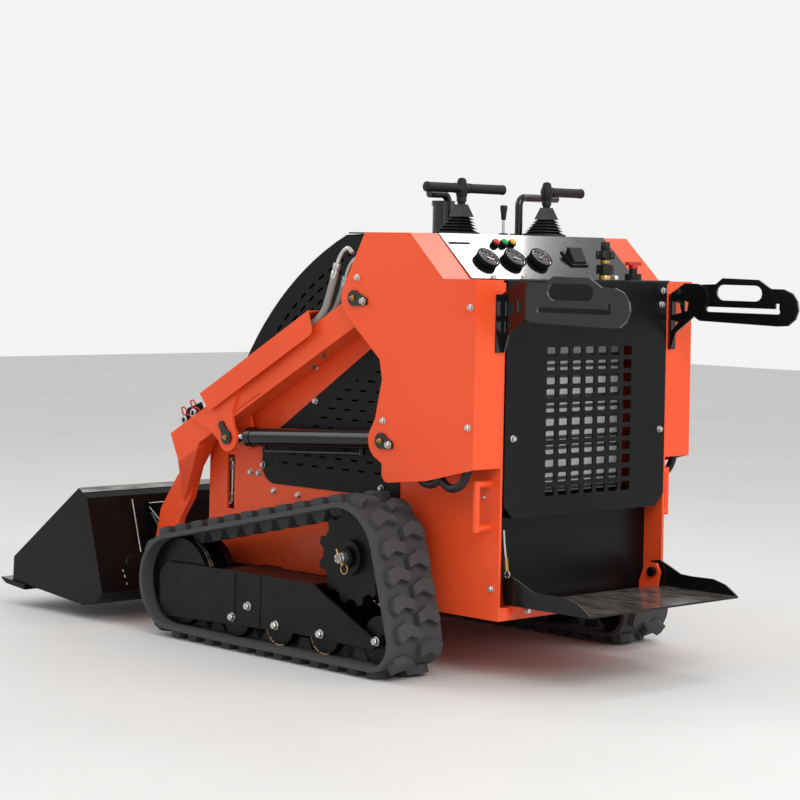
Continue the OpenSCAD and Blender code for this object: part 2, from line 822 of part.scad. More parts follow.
module rollers(s) {
    color(rubber) placed() on_side(s) {
        grooved_wheel(ctr(rear_roller), rear_roller_r - wheel_clear, roller_core_r);
        for (x = roller_xs) grooved_wheel([x, roller_z], roller_r - wheel_clear, roller_core_r);
    }
}

module idlers() {
    color(black) placed() for (s = [1, -1]) on_side(s)
        grooved_wheel([idler_x, idler_z], idler_r - wheel_clear, idler_r - drive_lug_h - 4);
}

// Sprockets: two toothed discs joined by bars that push the drive lugs
motor_hub_r = 60;
disc_r = 106;
tooth_r = 122;
disc_t = 12;

module toothed_disc(y0) {
    slab(y0, y0 + disc_t) translate([sprocket_x, sprocket_z]) difference() {
        union() {
            circle(r = disc_r, $fn = 96);
            for (k = [0:sprocket_teeth - 1])
                rotate((k + 0.5) * 360 / sprocket_teeth)
                    polygon([[disc_r - 8, -20], [tooth_r, -9], [tooth_r, 9], [disc_r - 8, 20]]);
        }
        circle(r = 24, $fn = 48);
    }
}

module sprockets() {
    color(black) placed() for (s = [1, -1]) on_side(s) {
        toothed_disc(wheel_mid_y + groove_half_w);
        toothed_disc(wheel_mid_y - groove_half_w - disc_t);
        bar_y([sprocket_x, sprocket_z], 62, wheel_mid_y - groove_half_w, wheel_mid_y + groove_half_w, 64);
        bar_y([sprocket_x, sprocket_z], 44, wheel_mid_y + groove_half_w + disc_t,
            wheel_mid_y + groove_half_w + disc_t + 14, 48);
    }
}

module drive_motors() {
    color(black) placed() for (s = [1, -1]) on_side(s) {
        // motor body inside the chassis and its flange outside
        bar_y([sprocket_x, sprocket_z], motor_hub_r, inner_half_w - 150, chassis_half_w + 20, 64);
        // tapered shaft with its castle nut
        bar_y([sprocket_x, sprocket_z], 23.7, chassis_half_w + 20, wheel_mid_y - groove_half_w, 48);
        bar_y([sprocket_x, sprocket_z], 16, wheel_mid_y + groove_half_w + disc_t + 14,
            wheel_mid_y + groove_half_w + disc_t + 40, 6);
    }
}

// Arms
beam_n = [0.4818, 0.8763];
beam_d = [0.8763, -0.4818];
beam_top = 1026;
beam_low = beam_top - beam_depth;

// Point on the arm at a distance along the beam from the arm pivot, and a normal offset
arm_origin_t = pivot_arm * beam_d;
function beam_pt(t, n) = (arm_origin_t + t) * beam_d + n * beam_n;
beam_end_t = 851;
boss_r = 44;

module beam_outline() {
    polygon([beam_pt(-10, beam_top), beam_pt(beam_end_t, beam_top),
        beam_pt(beam_end_t + 3, beam_low), beam_pt(-10, beam_low)]);
}

module arm(s) {
    color(orange) placed() on_side(s) difference() {
        union() {
            slab(beam_in_y, beam_out_y) beam_outline();
            bar_y(pivot_arm, boss_r, beam_in_y, beam_out_y, 64);
            // hub faces run against the chassis
            bar_y(pivot_arm, 30, chassis_half_w + 3, tower_half_w - tower_t - 1);
            // ears that hold the lift cylinder's eye
            for (y = [beam_in_y - ear_t, beam_out_y])
                slab(y, y + ear_t) ear_outline();
        }
        bar_y(pivot_arm, arm_pin_d / 2 + pin_fit, chassis_half_w - 10, tower_half_w, 64);
        // the beam is a box, open downwards at its front end
        slab(beam_in_y + beam_wall, beam_out_y - beam_wall)
            polygon([beam_pt(60, beam_top - beam_wall), beam_pt(beam_end_t - 8, beam_top - beam_wall),
                beam_pt(beam_end_t - 8, beam_low - 1), beam_pt(beam_end_t - 60, beam_low - 1),
                beam_pt(beam_end_t - 60, beam_low + beam_wall), beam_pt(60, beam_low + beam_wall)]);
    }
}

ear_r = 38;

module ear_outline() {
    difference() {
        union() {
            translate(pivot_lift_eye) circle(r = ear_r, $fn = 64);
            polygon([pivot_lift_eye + [-34, 0], [912, 592], [898, 634], beam_pt(520, beam_top - 12),
                beam_pt(735, beam_top - 12), [988, 534], pivot_lift_eye + [28, -18]]);
        }
        translate(pivot_lift_eye) circle(d = cyl_pin_d, $fn = 48);
    }
}

// Legs down to the quick attach, with a sloping gusset under the beam's end
leg_out_y = beam_in_y;
leg_in_y = leg_out_y - leg_t;
leg_foot_r = 42;

module leg_outline() {
    difference() {
        polygon(concat(
            [beam_pt(745, beam_low + 58), beam_pt(beam_end_t, beam_low + 58),
             beam_pt(beam_end_t + 3, beam_low), [1216, 401],
             [1290, 300]], [[1296, 270]],
            arc_pts(pivot_tool, leg_foot_r, 15, -195, 14),
            [[1203, 280], [1161, 337]]));
        translate(pivot_tool) circle(r = tool_pin_r + pin_fit, $fn = 64);
    }
}

module arm_leg(s) {
    color(orange) placed() on_side(s) difference() {
        union() {
            slab(leg_in_y, leg_out_y) leg_outline();
            // folded gusset: three sided funnel from the beam's mouth to the leg
            hull() {
                slab(leg_out_y - 2, beam_out_y) polygon([beam_pt(752, beam_low),
                    beam_pt(beam_end_t + 3, beam_low), beam_pt(beam_end_t - 2, beam_low - 10),
                    beam_pt(762, beam_low - 10)]);
                slab(leg_out_y - 2, leg_out_y + 2) polygon([[1170, 345], [1184, 330], [1194, 352]]);
            }
        }
    }
}

// Cross tubes between the arms
tube_front = [1150, 493];

module cross_tubes() {
    color(orange) placed() {
        difference() {
            bar_y(tube_front, cross_tube_d / 2, -leg_in_y, leg_in_y, 64);
            bar_y(tube_front, cross_tube_d / 2 - 6, -leg_in_y - 1, leg_in_y + 1, 64);
        }
        // ears for the tilt cylinder
        for (s = [1, -1]) on_side(s)
            difference() {
                slab(tilt_ear_y, tilt_ear_y + ear_t) union() {
                    translate(pivot_tilt_base) circle(r = 26, $fn = 48);
                    polygon([pivot_tilt_base + [-20, 16], tube_front + [-24, 12],
                        tube_front + [24, -12], pivot_tilt_base + [22, -14]]);
                }
                bar_y(pivot_tilt_base, cyl_pin_d / 2, 0, 100);
                bar_y(tube_front, cross_tube_d / 2 - 0.5, 0, 100, 64);
            }
    }
}

tilt_eye_half_w = 22;
tilt_ear_y = tilt_eye_half_w + 4;

// Hose covers along the arms
cover_y0 = beam_in_y + 24;
cover_y1 = beam_out_y + 20;
cover_t = 3;

module hose_covers() {
    color(orange) placed() for (s = [1, -1]) on_side(s) {
        // outer skirt beside the beam
        slab(cover_y1 - cover_t, cover_y1) polygon([
            beam_pt(168, 1059), beam_pt(664, 1059), beam_pt(650, 999), beam_pt(190, 999), beam_pt(178, 1008)]);
        // top and inner skirt that stands on the beam
        slab(cover_y0, cover_y1 - cover_t) polygon([
            beam_pt(168, 1059), beam_pt(664, 1059), beam_pt(664, 1056), beam_pt(168, 1056)]);
        slab(cover_y0, cover_y0 + cover_t) polygon([
            beam_pt(168, 1056), beam_pt(664, 1056), beam_pt(664, beam_top), beam_pt(168, beam_top)]);
    }
}

coupler_t = 775;

module aux_couplers() {
    color(black) placed() {
        // bracket on the left beam's end
        slab(beam_in_y - 4, beam_in_y) polygon([
            beam_pt(coupler_t - 20, beam_top - 14), beam_pt(coupler_t + 64, beam_top - 14),
            beam_pt(coupler_t + 64, beam_top + 42), beam_pt(coupler_t + 40, beam_top + 58),
            beam_pt(coupler_t - 20, beam_top + 48)]);
        for (k = [0, 1])
            rod(concat_y(beam_pt(coupler_t + 44 * k, beam_top + 24), beam_in_y - 60),
                concat_y(beam_pt(coupler_t + 44 * k, beam_top + 24), beam_in_y + 20), 13);
    }
}

function concat_y(p, y) = [p[0], y, p[1]];

// Short pins in the arms' ears, clear of the rod's eye
module arm_pins() {
    color(black) placed() for (s = [1, -1]) on_side(s) {
        bar_y(pivot_lift_eye, cyl_pin_d / 2, beam_out_y, beam_out_y + ear_t);
        bar_y(pivot_lift_eye, cyl_pin_d / 2, beam_in_y - ear_t, beam_in_y);
        slab(beam_out_y + ear_t, beam_out_y + ear_t + flag_t) union() {
            translate(pivot_lift_eye) circle(r = 19, $fn = 48);
            polygon([pivot_lift_eye + [-16, 8], [938, 560], [960, 562], pivot_lift_eye + [18, 6]]);
            translate([949, 560]) circle(r = 11, $fn = 32);
        }
        // tool pin at the foot of the leg
        bar_y(pivot_tool, tool_pin_r, leg_in_y - 16, leg_out_y + 8, 64);
    }
}

tool_pin_r = 16;

// Lift cylinders
cyl_mid_y = (beam_in_y + beam_out_y) / 2;
lift_v = pivot_lift_eye - pivot_lift_base;
lift_l = norm(lift_v);
lift_a = atan2(lift_v[1], lift_v[0]);
eye_half_w = 20;
lift_eye_r = 28;

// Draws a child in a cylinder's own frame: x along it, z up, from its base pin
module along(p, a, y) {
    translate([p[0], y, p[1]]) rotate([0, -a, 0]) children();
}

module tube_x(x0, x1, r, bore, fn = 48) {
    translate([x0, 0, 0]) rotate([0, 90, 0]) difference() {
        cylinder(r = r, h = x1 - x0, $fn = fn);
        if (bore > 0) translate([0, 0, -1]) cylinder(r = bore, h = x1 - x0 + 2, $fn = fn);
    }
}

rod_gap = 0.15;

module lift_barrel(s) {
    color(black) placed() along(pivot_lift_base, lift_a, s * cyl_mid_y) {
        difference() {
            union() {
                rotate([90, 0, 0]) translate([0, 0, -25]) cylinder(r = 27, h = 50, $fn = 48);
                tube_x(10, 60, lift_barrel_d / 2, 0);
                tube_x(60, lift_barrel_l, lift_barrel_d / 2, 0);
                tube_x(lift_barrel_l - 22, lift_barrel_l, lift_barrel_d / 2 + 2, 0);
            }
            rotate([90, 0, 0]) translate([0, 0, -30])
                cylinder(r = cyl_pin_d / 2 + pin_fit, h = 60, $fn = 64);
            translate([70, 0, 0]) rotate([0, 90, 0])
                cylinder(r = lift_rod_d / 2 + rod_gap, h = lift_barrel_l, $fn = 64);
        }
        // pressure pipe below the barrel
        rod([120, 0, -lift_barrel_d / 2 - 12], [lift_barrel_l - 60, 0, -lift_barrel_d / 2 - 12], 5, 16);
        for (x = [120, lift_barrel_l - 60])
            rod([x, 0, -lift_barrel_d / 2 - 17], [x, 0, -lift_barrel_d / 2 + 3], 7, 16);
    }
}

module lift_rod(s) {
    color(zinc) placed() along(pivot_lift_base, lift_a, s * cyl_mid_y) {
        difference() {
            union() {
                tube_x(90, lift_l - 10, lift_rod_d / 2, 0, 64);
                translate([lift_l, 0, 0]) rotate([90, 0, 0]) translate([0, 0, -eye_half_w])
                    cylinder(r = lift_eye_r, h = 2 * eye_half_w, $fn = 64);
            }
            translate([lift_l, 0, 0]) rotate([90, 0, 0]) translate([0, 0, -eye_half_w - 1])
                cylinder(r = cyl_pin_d / 2 + 1, h = 2 * eye_half_w + 2, $fn = 64);
        }
    }
}

// Tilt cylinder
tilt_v = pivot_tilt_eye - pivot_tilt_base;
tilt_l = norm(tilt_v);
tilt_a = atan2(tilt_v[1], tilt_v[0]);
// Inner end of the barrel's bore and of the rod, from the barrel's pin
tilt_bore_x = 38;
tilt_rod_x = 72;

module tilt_barrel() {
    color(black) placed() along(pivot_tilt_base, tilt_a, 0) difference() {
        union() {
            rotate([90, 0, 0]) translate([0, 0, -tilt_eye_half_w])
                cylinder(r = 24, h = 2 * tilt_eye_half_w, $fn = 48);
            tube_x(16, tilt_barrel_l, tilt_barrel_d / 2 - 4, 0);
            tube_x(34, tilt_barrel_l, tilt_barrel_d / 2, 0);
            // ears of the barrel's pin in the bracket
            rotate([90, 0, 0]) translate([0, 0, -tilt_ear_y - ear_t])
                cylinder(d = cyl_pin_d - 2 * pin_fit, h = 2 * (tilt_ear_y + ear_t), $fn = 64);
        }
        translate([tilt_bore_x, 0, 0]) rotate([0, 90, 0])
            cylinder(r = tilt_rod_d / 2 + rod_gap, h = tilt_barrel_l, $fn = 64);
    }
}

module tilt_rod() {
    color(zinc) placed() along(pivot_tilt_base, tilt_a, 0) difference() {
        union() {
            tube_x(tilt_rod_x, tilt_l - 12, tilt_rod_d / 2, 0, 64);
            translate([tilt_l, 0, 0]) rotate([90, 0, 0]) translate([0, 0, -18])
                cylinder(r = 20, h = 36, $fn = 48);
        }
        translate([tilt_l, 0, 0]) rotate([90, 0, 0]) translate([0, 0, -30])
            cylinder(r = cyl_pin_d / 2 + 1, h = 60, $fn = 48);
    }
}

// Quick attach frame that carries the bucket
qa_low_s = 24;
qa_top_s = 245;
qa_t = 12;
seat_gap = 0.3;
qa_half_w = leg_in_y - 4;

// Point behind the bucket's back, s along it from the heel and n behind it
back_u = (bucket_back_top - bucket_rear) / norm(bucket_back_top - bucket_rear);
function back_pt(s, n) = bucket_rear + s * back_u + n * [-back_u[1], back_u[0]];

module quick_attach() {
    color(black) placed() {
        // hooked back plate
        slab(-qa_half_w, qa_half_w)
            polygon([back_pt(qa_low_s, seat_gap), back_pt(qa_top_s, seat_gap), back_pt(qa_top_s, qa_t),
                back_pt(qa_low_s, qa_t)]);
        // knuckles on the tool pins, beside the legs
        for (s = [1, -1]) on_side(s) {
            difference() {
                slab(leg_in_y - 14, leg_in_y - 4) union() {
                    translate(pivot_tool) circle(r = 36, $fn = 48);
                    polygon([pivot_tool + [-6, 34], back_pt(qa_top_s - 30, qa_t - 1),
                        back_pt(qa_low_s + 10, qa_t - 1), pivot_tool + [-6, -34]]);
                }
                bar_y(pivot_tool, tool_pin_r + pin_fit, 0, 400, 64);
            }
            // horns for the tilt cylinder, with a stub pin in each
            slab(24, 32) union() {
                translate(pivot_tilt_eye) circle(r = 26, $fn = 48);
                polygon([pivot_tilt_eye + [-18, 14], back_pt(qa_top_s - 15, qa_t - 1),
                    back_pt(qa_low_s + 60, qa_t - 1), pivot_tilt_eye + [-10, -20]]);
            }
        }
    }
}

// Bucket
bucket_half_w = bucket_w / 2 - cutting_edge_side;

module bucket_side_outline() {
    polygon([bucket_back_top, [1436, 354], [1743, 130], [1746, 62], [1400, 29], [1340, 50], bucket_rear]);
}

// The shell's path: floor, curved heel, back and top lip
module bucket_shell_outline() {
    difference() {
        polygon([bucket_back_top, [1436, 354], [1440, 348], [1746, 68], [1746, 62], [1400, 29], [1340, 50], bucket_rear]);
        polygon([[1404, 326], [1438, 345], [1600, 400], [1760, 100], [1746, 68], [1401, 35],
            [1344, 55], [1323.5, 75]]);
    }
}

module bucket() {
    color(black) placed() {
        slab(-bucket_half_w, bucket_half_w) bucket_shell_outline();
        for (s = [1, -1]) on_side(s) {
            slab(bucket_half_w - bucket_t, bucket_half_w) bucket_side_outline();
        }
    }
}

module cutting_edge() {
    color(black) placed()
        slab(-bucket_w / 2, bucket_w / 2) polygon([
            [1676, 55.3 - cutting_edge_t], [1676, 55.3], [1746, 62], [cutting_edge_tip_x, 66.5],
            [cutting_edge_tip_x, 63], [1770, 64.3 - cutting_edge_t]]);
}

// Standing platform
hinge_pin_d = 16;
hinge_ear_y0 = platform_half_w - 20;
hinge_ear_y1 = hinge_ear_y0 + 8;

module platform_side_outline() {
    difference() {
        polygon([[8, platform_z], [14, 206], [12, 243], [-18, 248], [-48, 236], [-86, 219],
            [-120, 217], [-192, 218], [-232, 208], [-258, 192], [platform_rear_x, platform_z + platform_t],
            [platform_rear_x, platform_z]]);
        translate(pivot_platform) circle(d = hinge_pin_d + 2 * pin_fit, $fn = 48);
    }
}

module platform() {
    color(black) placed() {
        difference() {
            translate([platform_rear_x, -platform_half_w, platform_z])
                cube([-platform_rear_x - 14, 2 * platform_half_w, platform_t]);
            // notches for the hinge ears
            for (s = [1, -1]) on_side(s)
                translate([-42, hinge_ear_y0 - 6, platform_z - 1]) cube([40, 20.1, platform_t + 2]);
        }
        for (s = [1, -1]) on_side(s)
            slab(platform_half_w - platform_t, platform_half_w) platform_side_outline();
    }
}

side_plate(1);  // side_plate_left
side_plate(-1);  // side_plate_right
floor_plate();
front_plate();
rear_panel();
lower_rear_panel();
tower(1);  // tower_left
tower(-1);  // tower_right
dashboard();
gauges();
hood();
side_guards();
engine_block();
radiator();
joystick(lever_table[0]);  // joystick_left
joystick(lever_table[1]);  // joystick_right
hand_rests();
throttle_lever();
valve_and_switch();
armrest(1);  // armrest_left
armrest(-1);  // armrest_right
tie_down_handles();
chassis_pins();
track(1);  // track_left
track(-1);  // track_right
track_frame(1);  // track_frame_left
track_frame(-1);  // track_frame_right
sprockets();
idlers();
rollers(1);  // rollers_left
rollers(-1);  // rollers_right
drive_motors();
arm(1);  // arm_left
arm(-1);  // arm_right
arm_leg(1);  // arm_leg_left
arm_leg(-1);  // arm_leg_right
cross_tubes();
hose_covers();
aux_couplers();
arm_pins();
lift_barrel(1);  // lift_barrel_left
lift_barrel(-1);  // lift_barrel_right
lift_rod(1);  // lift_rod_left
lift_rod(-1);  // lift_rod_right
tilt_barrel();
tilt_rod();
quick_attach();
bucket();
cutting_edge();
platform();
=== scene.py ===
"""Dresses the stand-on tracked skid steer loader: finishes, controls, fasteners, hoses and studio."""

import json
import logging
import math
from collections.abc import Sequence
from dataclasses import dataclass
from enum import Enum

import bmesh
import bpy
from bpy.types import Material, Node, NodeSocket, NodeTree, Object
from mathutils import Matrix, Vector

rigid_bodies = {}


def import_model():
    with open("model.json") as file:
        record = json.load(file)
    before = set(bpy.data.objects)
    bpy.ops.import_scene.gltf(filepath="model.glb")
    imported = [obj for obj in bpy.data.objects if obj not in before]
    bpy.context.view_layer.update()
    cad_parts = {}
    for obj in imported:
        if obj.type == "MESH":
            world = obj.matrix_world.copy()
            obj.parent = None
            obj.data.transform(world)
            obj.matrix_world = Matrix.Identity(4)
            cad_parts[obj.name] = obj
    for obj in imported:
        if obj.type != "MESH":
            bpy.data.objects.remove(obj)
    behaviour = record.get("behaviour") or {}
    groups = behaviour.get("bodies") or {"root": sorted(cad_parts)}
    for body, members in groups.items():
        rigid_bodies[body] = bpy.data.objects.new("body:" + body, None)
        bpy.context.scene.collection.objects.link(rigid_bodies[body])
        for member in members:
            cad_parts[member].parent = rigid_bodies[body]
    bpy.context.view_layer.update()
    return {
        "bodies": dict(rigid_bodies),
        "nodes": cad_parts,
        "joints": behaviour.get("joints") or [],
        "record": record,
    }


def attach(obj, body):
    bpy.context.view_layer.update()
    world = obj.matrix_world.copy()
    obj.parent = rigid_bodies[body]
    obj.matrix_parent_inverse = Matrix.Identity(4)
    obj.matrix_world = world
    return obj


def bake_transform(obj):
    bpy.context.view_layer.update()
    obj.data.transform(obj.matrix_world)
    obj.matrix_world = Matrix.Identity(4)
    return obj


LOG = logging.getLogger("loader")
MM = 0.001
WASHER_T = 1.8

Point = tuple[float, float, float]
Station = tuple[float, float]
Stations = tuple[Station, ...]
Colour = tuple[float, float, float]


class Side(Enum):
    """The two sides of the machine, as the sign of y."""

    LEFT = 1
    RIGHT = -1

    def out(self) -> Vector:
        """Returns the direction away from the machine."""
        return Vector((0.0, self.value, 0.0))


class Axis(Enum):
    """Directions that a fastener or a turned piece can point in."""

    REAR = (-1.0, 0.0, 0.0)
    LEFT = (0.0, 1.0, 0.0)
    UP = (0.0, 0.0, 1.0)

    def way(self) -> Vector:
        """Returns the direction as a vector."""
        return Vector(self.value)


@dataclass(frozen=True)
class Layout:
    """Stations of the machine in millimetres, with x = 0 at the rear face of the chassis."""

    x_mid: float = 690.5
    side_plate_y: float = 312.0
    tower_y: float = 409.0
    ground_z: float = -12.0
    frame_y: float = 500.0
    sprocket: Station = (350.0, 273.0)
    dash_low: Station = (110.0, 974.0)
    dash_high: Station = (229.0, 1084.0)

    def at(self, x: float, y: float, z: float) -> Vector:
        """Returns a machine station as a point of the scene, in metres."""
        return Vector(((x - self.x_mid) * MM, y * MM, (z - self.ground_z) * MM))

    def on_dash(self, share: float, y: float) -> Vector:
        """Returns a point on the sloping dashboard.

        Args:
            share: Place up the slope, from 0 at its foot to 1 at its top.
            y: Distance from the centre line in millimetres.

        Returns:
            The point in metres.
        """
        low = self.at(self.dash_low[0], y, self.dash_low[1])
        high = self.at(self.dash_high[0], y, self.dash_high[1])
        return low.lerp(high, share)

    def on_shelf(self, x: float, y: float, lift: float = 0.0) -> Vector:
        """Returns a point on or above the level shelf at the foot of the dashboard."""
        return self.at(x, y, self.dash_low[1] + lift)

    def dash_normal(self) -> Vector:
        """Returns the direction that the dashboard faces."""
        run = self.dash_high[0] - self.dash_low[0]
        rise = self.dash_high[1] - self.dash_low[1]
        return Vector((-rise, 0.0, run)).normalized()


LAYOUT = Layout()


def linear(screen: Colour) -> Colour:
    """Turns a screen colour into scene-linear values.

    Args:
        screen: Red, green and blue from 0 to 255.

    Returns:
        The three linear values.
    """
    shares = (value / 255 for value in screen)
    red, green, blue = (share / 12.92 if share <= 0.04045 else ((share + 0.055) / 1.055) ** 2.4
                        for share in shares)
    return red, green, blue


def wired(tree: NodeTree, node: Node, output: str, inputs: dict[str | int, object]) -> NodeSocket:
    """Gives a node's inputs their values or links.

    Args:
        tree: Tree that holds the node.
        node: The node.
        output: Name of the output that is wanted.
        inputs: A plain value, or the output of another node, for each input.

    Returns:
        The wanted output of the node.
    """
    for name, value in inputs.items():
        if isinstance(value, NodeSocket):
            tree.links.new(value, node.inputs[name])
        else:
            node.inputs[name].default_value = value
    return node.outputs[output]


def ranged(tree: NodeTree, value: NodeSocket, limits: dict[str, float]) -> NodeSocket:
    """Maps a value from one range to another and returns the result."""
    node = tree.nodes.new("ShaderNodeMapRange")
    return wired(tree, node, "Result", {"Value": value, **limits})


@dataclass(frozen=True)
class Finish:
    """A surface finish with drift of colour, dust, fine bump and softly broken edges.

    Colours are screen values from 0 to 255, and the edge radius and the bands are metres.
    """

    name: str
    colour: Colour
    second: Colour
    roughness: float = 0.4
    roughness_drift: float = 0.08
    metallic: float = 0.0
    coat: float = 0.0
    coat_roughness: float = 0.06
    drift_scale: float = 4.0
    grain_scale: float = 900.0
    grain_depth: float = 0.04
    edge_radius: float = 0.0012
    dust: Colour | None = None
    dust_share: float = 0.0
    stretch: Point = (1.0, 1.0, 1.0)
    emission: float = 0.0
    dust_above: bool = False
    specular: float = 0.5
    bands: float = 0.0
    band_colour: Colour = (0.0, 0.0, 0.0)

    def build(self) -> Material:
        """Makes the node material.

        Returns:
            The material, built once for each name.
        """
        known = bpy.data.materials.get(self.name)
        if known is not None:
            return known
        material = bpy.data.materials.new(self.name)
        material.use_nodes = True
        tree = material.node_tree
        coords = tree.nodes.new("ShaderNodeTexCoord")
        mapping = tree.nodes.new("ShaderNodeMapping")
        place = wired(tree, mapping, "Vector",
                      {"Scale": self.stretch, "Vector": coords.outputs["Object"]})
        colour = self._coloured(tree, place)
        wear = self._noise(tree, place, self.drift_scale * 6, 5.0)
        inputs = {
            "Base Color": colour,
            "Metallic": self.metallic,
            "Coat Weight": self.coat,
            "Coat Roughness": self.coat_roughness,
            "Specular IOR Level": self.specular,
            "Roughness": ranged(tree, wear, {
                "To Min": max(0.02, self.roughness - self.roughness_drift),
                "To Max": min(1.0, self.roughness + self.roughness_drift)}),
            "Normal": self._grained(tree, place),
        }
        if self.emission > 0:
            inputs |= {"Emission Color": colour, "Emission Strength": self.emission}
        wired(tree, tree.nodes["Principled BSDF"], "BSDF", inputs)
        return material

    def _coloured(self, tree: NodeTree, place: NodeSocket) -> NodeSocket:
        """Blends the two colours, lays bands and dust over them and returns the colour."""
        ramp = tree.nodes.new("ShaderNodeValToRGB")
        stops = zip(ramp.color_ramp.elements, (0.35, 0.65), (self.colour, self.second))
        for element, position, screen in stops:
            element.position = position
            element.color = (*linear(screen), 1.0)
        drift = self._noise(tree, place, self.drift_scale, 4.0)
        colour = wired(tree, ramp, "Color", {"Fac": drift})
        if self.bands > 0:
            colour = self._banded(tree, place, colour)
        if self.dust is not None:
            colour = self._dusted(tree, place, colour)
        return colour

    def _grained(self, tree: NodeTree, place: NodeSocket) -> NodeSocket:
        """Adds the fine grain and the softly broken edges and returns the normal."""
        inputs = {"Height": self._noise(tree, place, self.grain_scale, 3.0),
                  "Strength": self.grain_depth, "Distance": MM}
        if self.edge_radius > 0:
            bevel = tree.nodes.new("ShaderNodeBevel")
            bevel.samples = 4
            inputs["Normal"] = wired(tree, bevel, "Normal", {"Radius": self.edge_radius})
        return wired(tree, tree.nodes.new("ShaderNodeBump"), "Normal", inputs)

    @staticmethod
    def _noise(tree: NodeTree, place: NodeSocket, scale: float, detail: float) -> NodeSocket:
        """Adds a noise texture and returns its value."""
        node = tree.nodes.new("ShaderNodeTexNoise")
        return wired(tree, node, "Fac", {"Vector": place, "Scale": scale, "Detail": detail})

    @staticmethod
    def _mixed(tree: NodeTree, value: NodeSocket, span: Station, most: float,
               colour: NodeSocket, other: Colour) -> NodeSocket:
        """Mixes in another colour where a value passes from one end of a span to the other."""
        share = ranged(tree, value, {"From Min": span[0], "From Max": span[1], "To Max": most})
        mix = tree.nodes.new("ShaderNodeMix")
        mix.data_type = "RGBA"
        return wired(tree, mix, "Result",
                     {"Factor": share, "A": colour, "B": (*linear(other), 1.0)})

    def _banded(self, tree: NodeTree, place: NodeSocket, colour: NodeSocket) -> NodeSocket:
        """Lays level bands over a colour, one to each pitch, and returns the new colour."""
        wave = tree.nodes.new("ShaderNodeTexWave")
        wave.bands_direction = "Z"
        bands = wired(tree, wave, "Fac", {"Vector": place, "Scale": math.pi / (10 * self.bands)})
        return self._mixed(tree, bands, (0.6, 0.8), 1.0, colour, self.band_colour)

    def _dusted(self, tree: NodeTree, place: NodeSocket, colour: NodeSocket) -> NodeSocket:
        """Lays patches of dust over a colour and returns the new colour."""
        patches = self._noise(tree, place, 14.0, 8.0)
        span = (0.42, 0.78)
        if self.dust_above:
            surface = tree.nodes.new("ShaderNodeNewGeometry")
            facing = tree.nodes.new("ShaderNodeSeparateXYZ")
            upwards = wired(tree, facing, "Z", {"Vector": surface.outputs["True Normal"]})
            level = tree.nodes.new("ShaderNodeMath")
            level.operation = "MULTIPLY"
            patches = wired(tree, level, "Value", {0: patches, 1: upwards})
            span = (0.3, 0.62)
        return self._mixed(tree, patches, span, self.dust_share, colour, self.dust)


def lens(name: str, colour: Colour, second: Colour) -> Finish:
    """Returns the finish of a faintly lit lamp lens."""
    return Finish(name, colour, second, 0.16, 0.03, coat=0.5, edge_radius=0.0, emission=0.12)


DUST = (120, 116, 110)

ORANGE = Finish("orange_powder_coat", (235, 80, 37), (241, 88, 44), 0.36, 0.05,
                coat=0.05, drift_scale=2.0, grain_scale=700.0, grain_depth=0.05, specular=0.28)
BLACK = Finish("satin_black_coat", (9, 9, 10), (14, 14, 16), 0.34, 0.07,
               drift_scale=3.0, grain_scale=650.0, grain_depth=0.06, specular=0.17)
GLOSS = Finish("gloss_black_dash", (10, 10, 11), (14, 14, 15), 0.2, 0.05,
               coat=0.6, grain_depth=0.02, specular=0.35)
BARREL = Finish("gloss_black_barrel", (13, 14, 17), (17, 18, 21), 0.22, 0.04,
                coat=0.2, grain_depth=0.02, specular=0.25)
PAD = Finish("black_platform_pad", (11, 11, 11), (18, 17, 17), 0.24, 0.08,
             coat=0.2, grain_depth=0.03, dust=DUST, dust_share=0.7, dust_above=True,
             stretch=(1.0, 4.0, 1.0), specular=0.2)
RUNNING = Finish("black_running_gear", (9, 9, 11), (15, 15, 17), 0.36, 0.08,
                 grain_depth=0.1, grain_scale=260.0, edge_radius=0.003, dust=DUST,
                 dust_share=0.03, specular=0.17)
RUBBER = Finish("track_rubber", (40, 40, 43), (54, 54, 57), 0.7, 0.1,
                grain_depth=0.22, grain_scale=420.0, edge_radius=0.0025, dust=DUST,
                dust_share=0.16, specular=0.18)
BOOT_RUBBER = Finish("boot_rubber", (18, 18, 19), (25, 25, 26), 0.55, 0.06,
                     grain_depth=0.08, specular=0.3)
HOSE = Finish("hose_cover", (18, 18, 19), (28, 28, 29), 0.45, 0.06,
              grain_scale=1500.0, grain_depth=0.2, specular=0.35)
GREY_HOSE = Finish("grey_sleeve_hose", (128, 126, 122), (152, 150, 146), 0.55, 0.06,
                   grain_scale=1200.0, grain_depth=0.3)
ZINC = Finish("zinc_plate", (186, 187, 184), (210, 211, 208), 0.34, 0.08,
              metallic=0.92, drift_scale=30.0, edge_radius=0.0006)
CHROME = Finish("hard_chrome", (214, 216, 218), (224, 226, 228), 0.09, 0.03,
                metallic=1.0, grain_depth=0.01)
PIN = Finish("oiled_steel", (58, 57, 56), (82, 80, 77), 0.38, 0.08,
             metallic=0.85, drift_scale=20.0)
PLASTIC = Finish("moulded_plastic", (18, 18, 18), (25, 25, 25), 0.42, 0.06,
                 grain_scale=1400.0, grain_depth=0.12, specular=0.35)
# Near-white core: the pale aluminium of the fins, lightened further as painted light that stands for
# the light showing through the grille's holes.
CORE = Finish("bare_aluminium_core", (226, 228, 230), (240, 242, 244), 0.4, 0.08,
              grain_scale=90.0, grain_depth=0.6, bands=0.026, band_colour=(66, 68, 72))
IRON = Finish("cast_iron_mass", (62, 63, 65), (84, 85, 87), 0.62, 0.08,
              grain_scale=160.0, grain_depth=0.3)
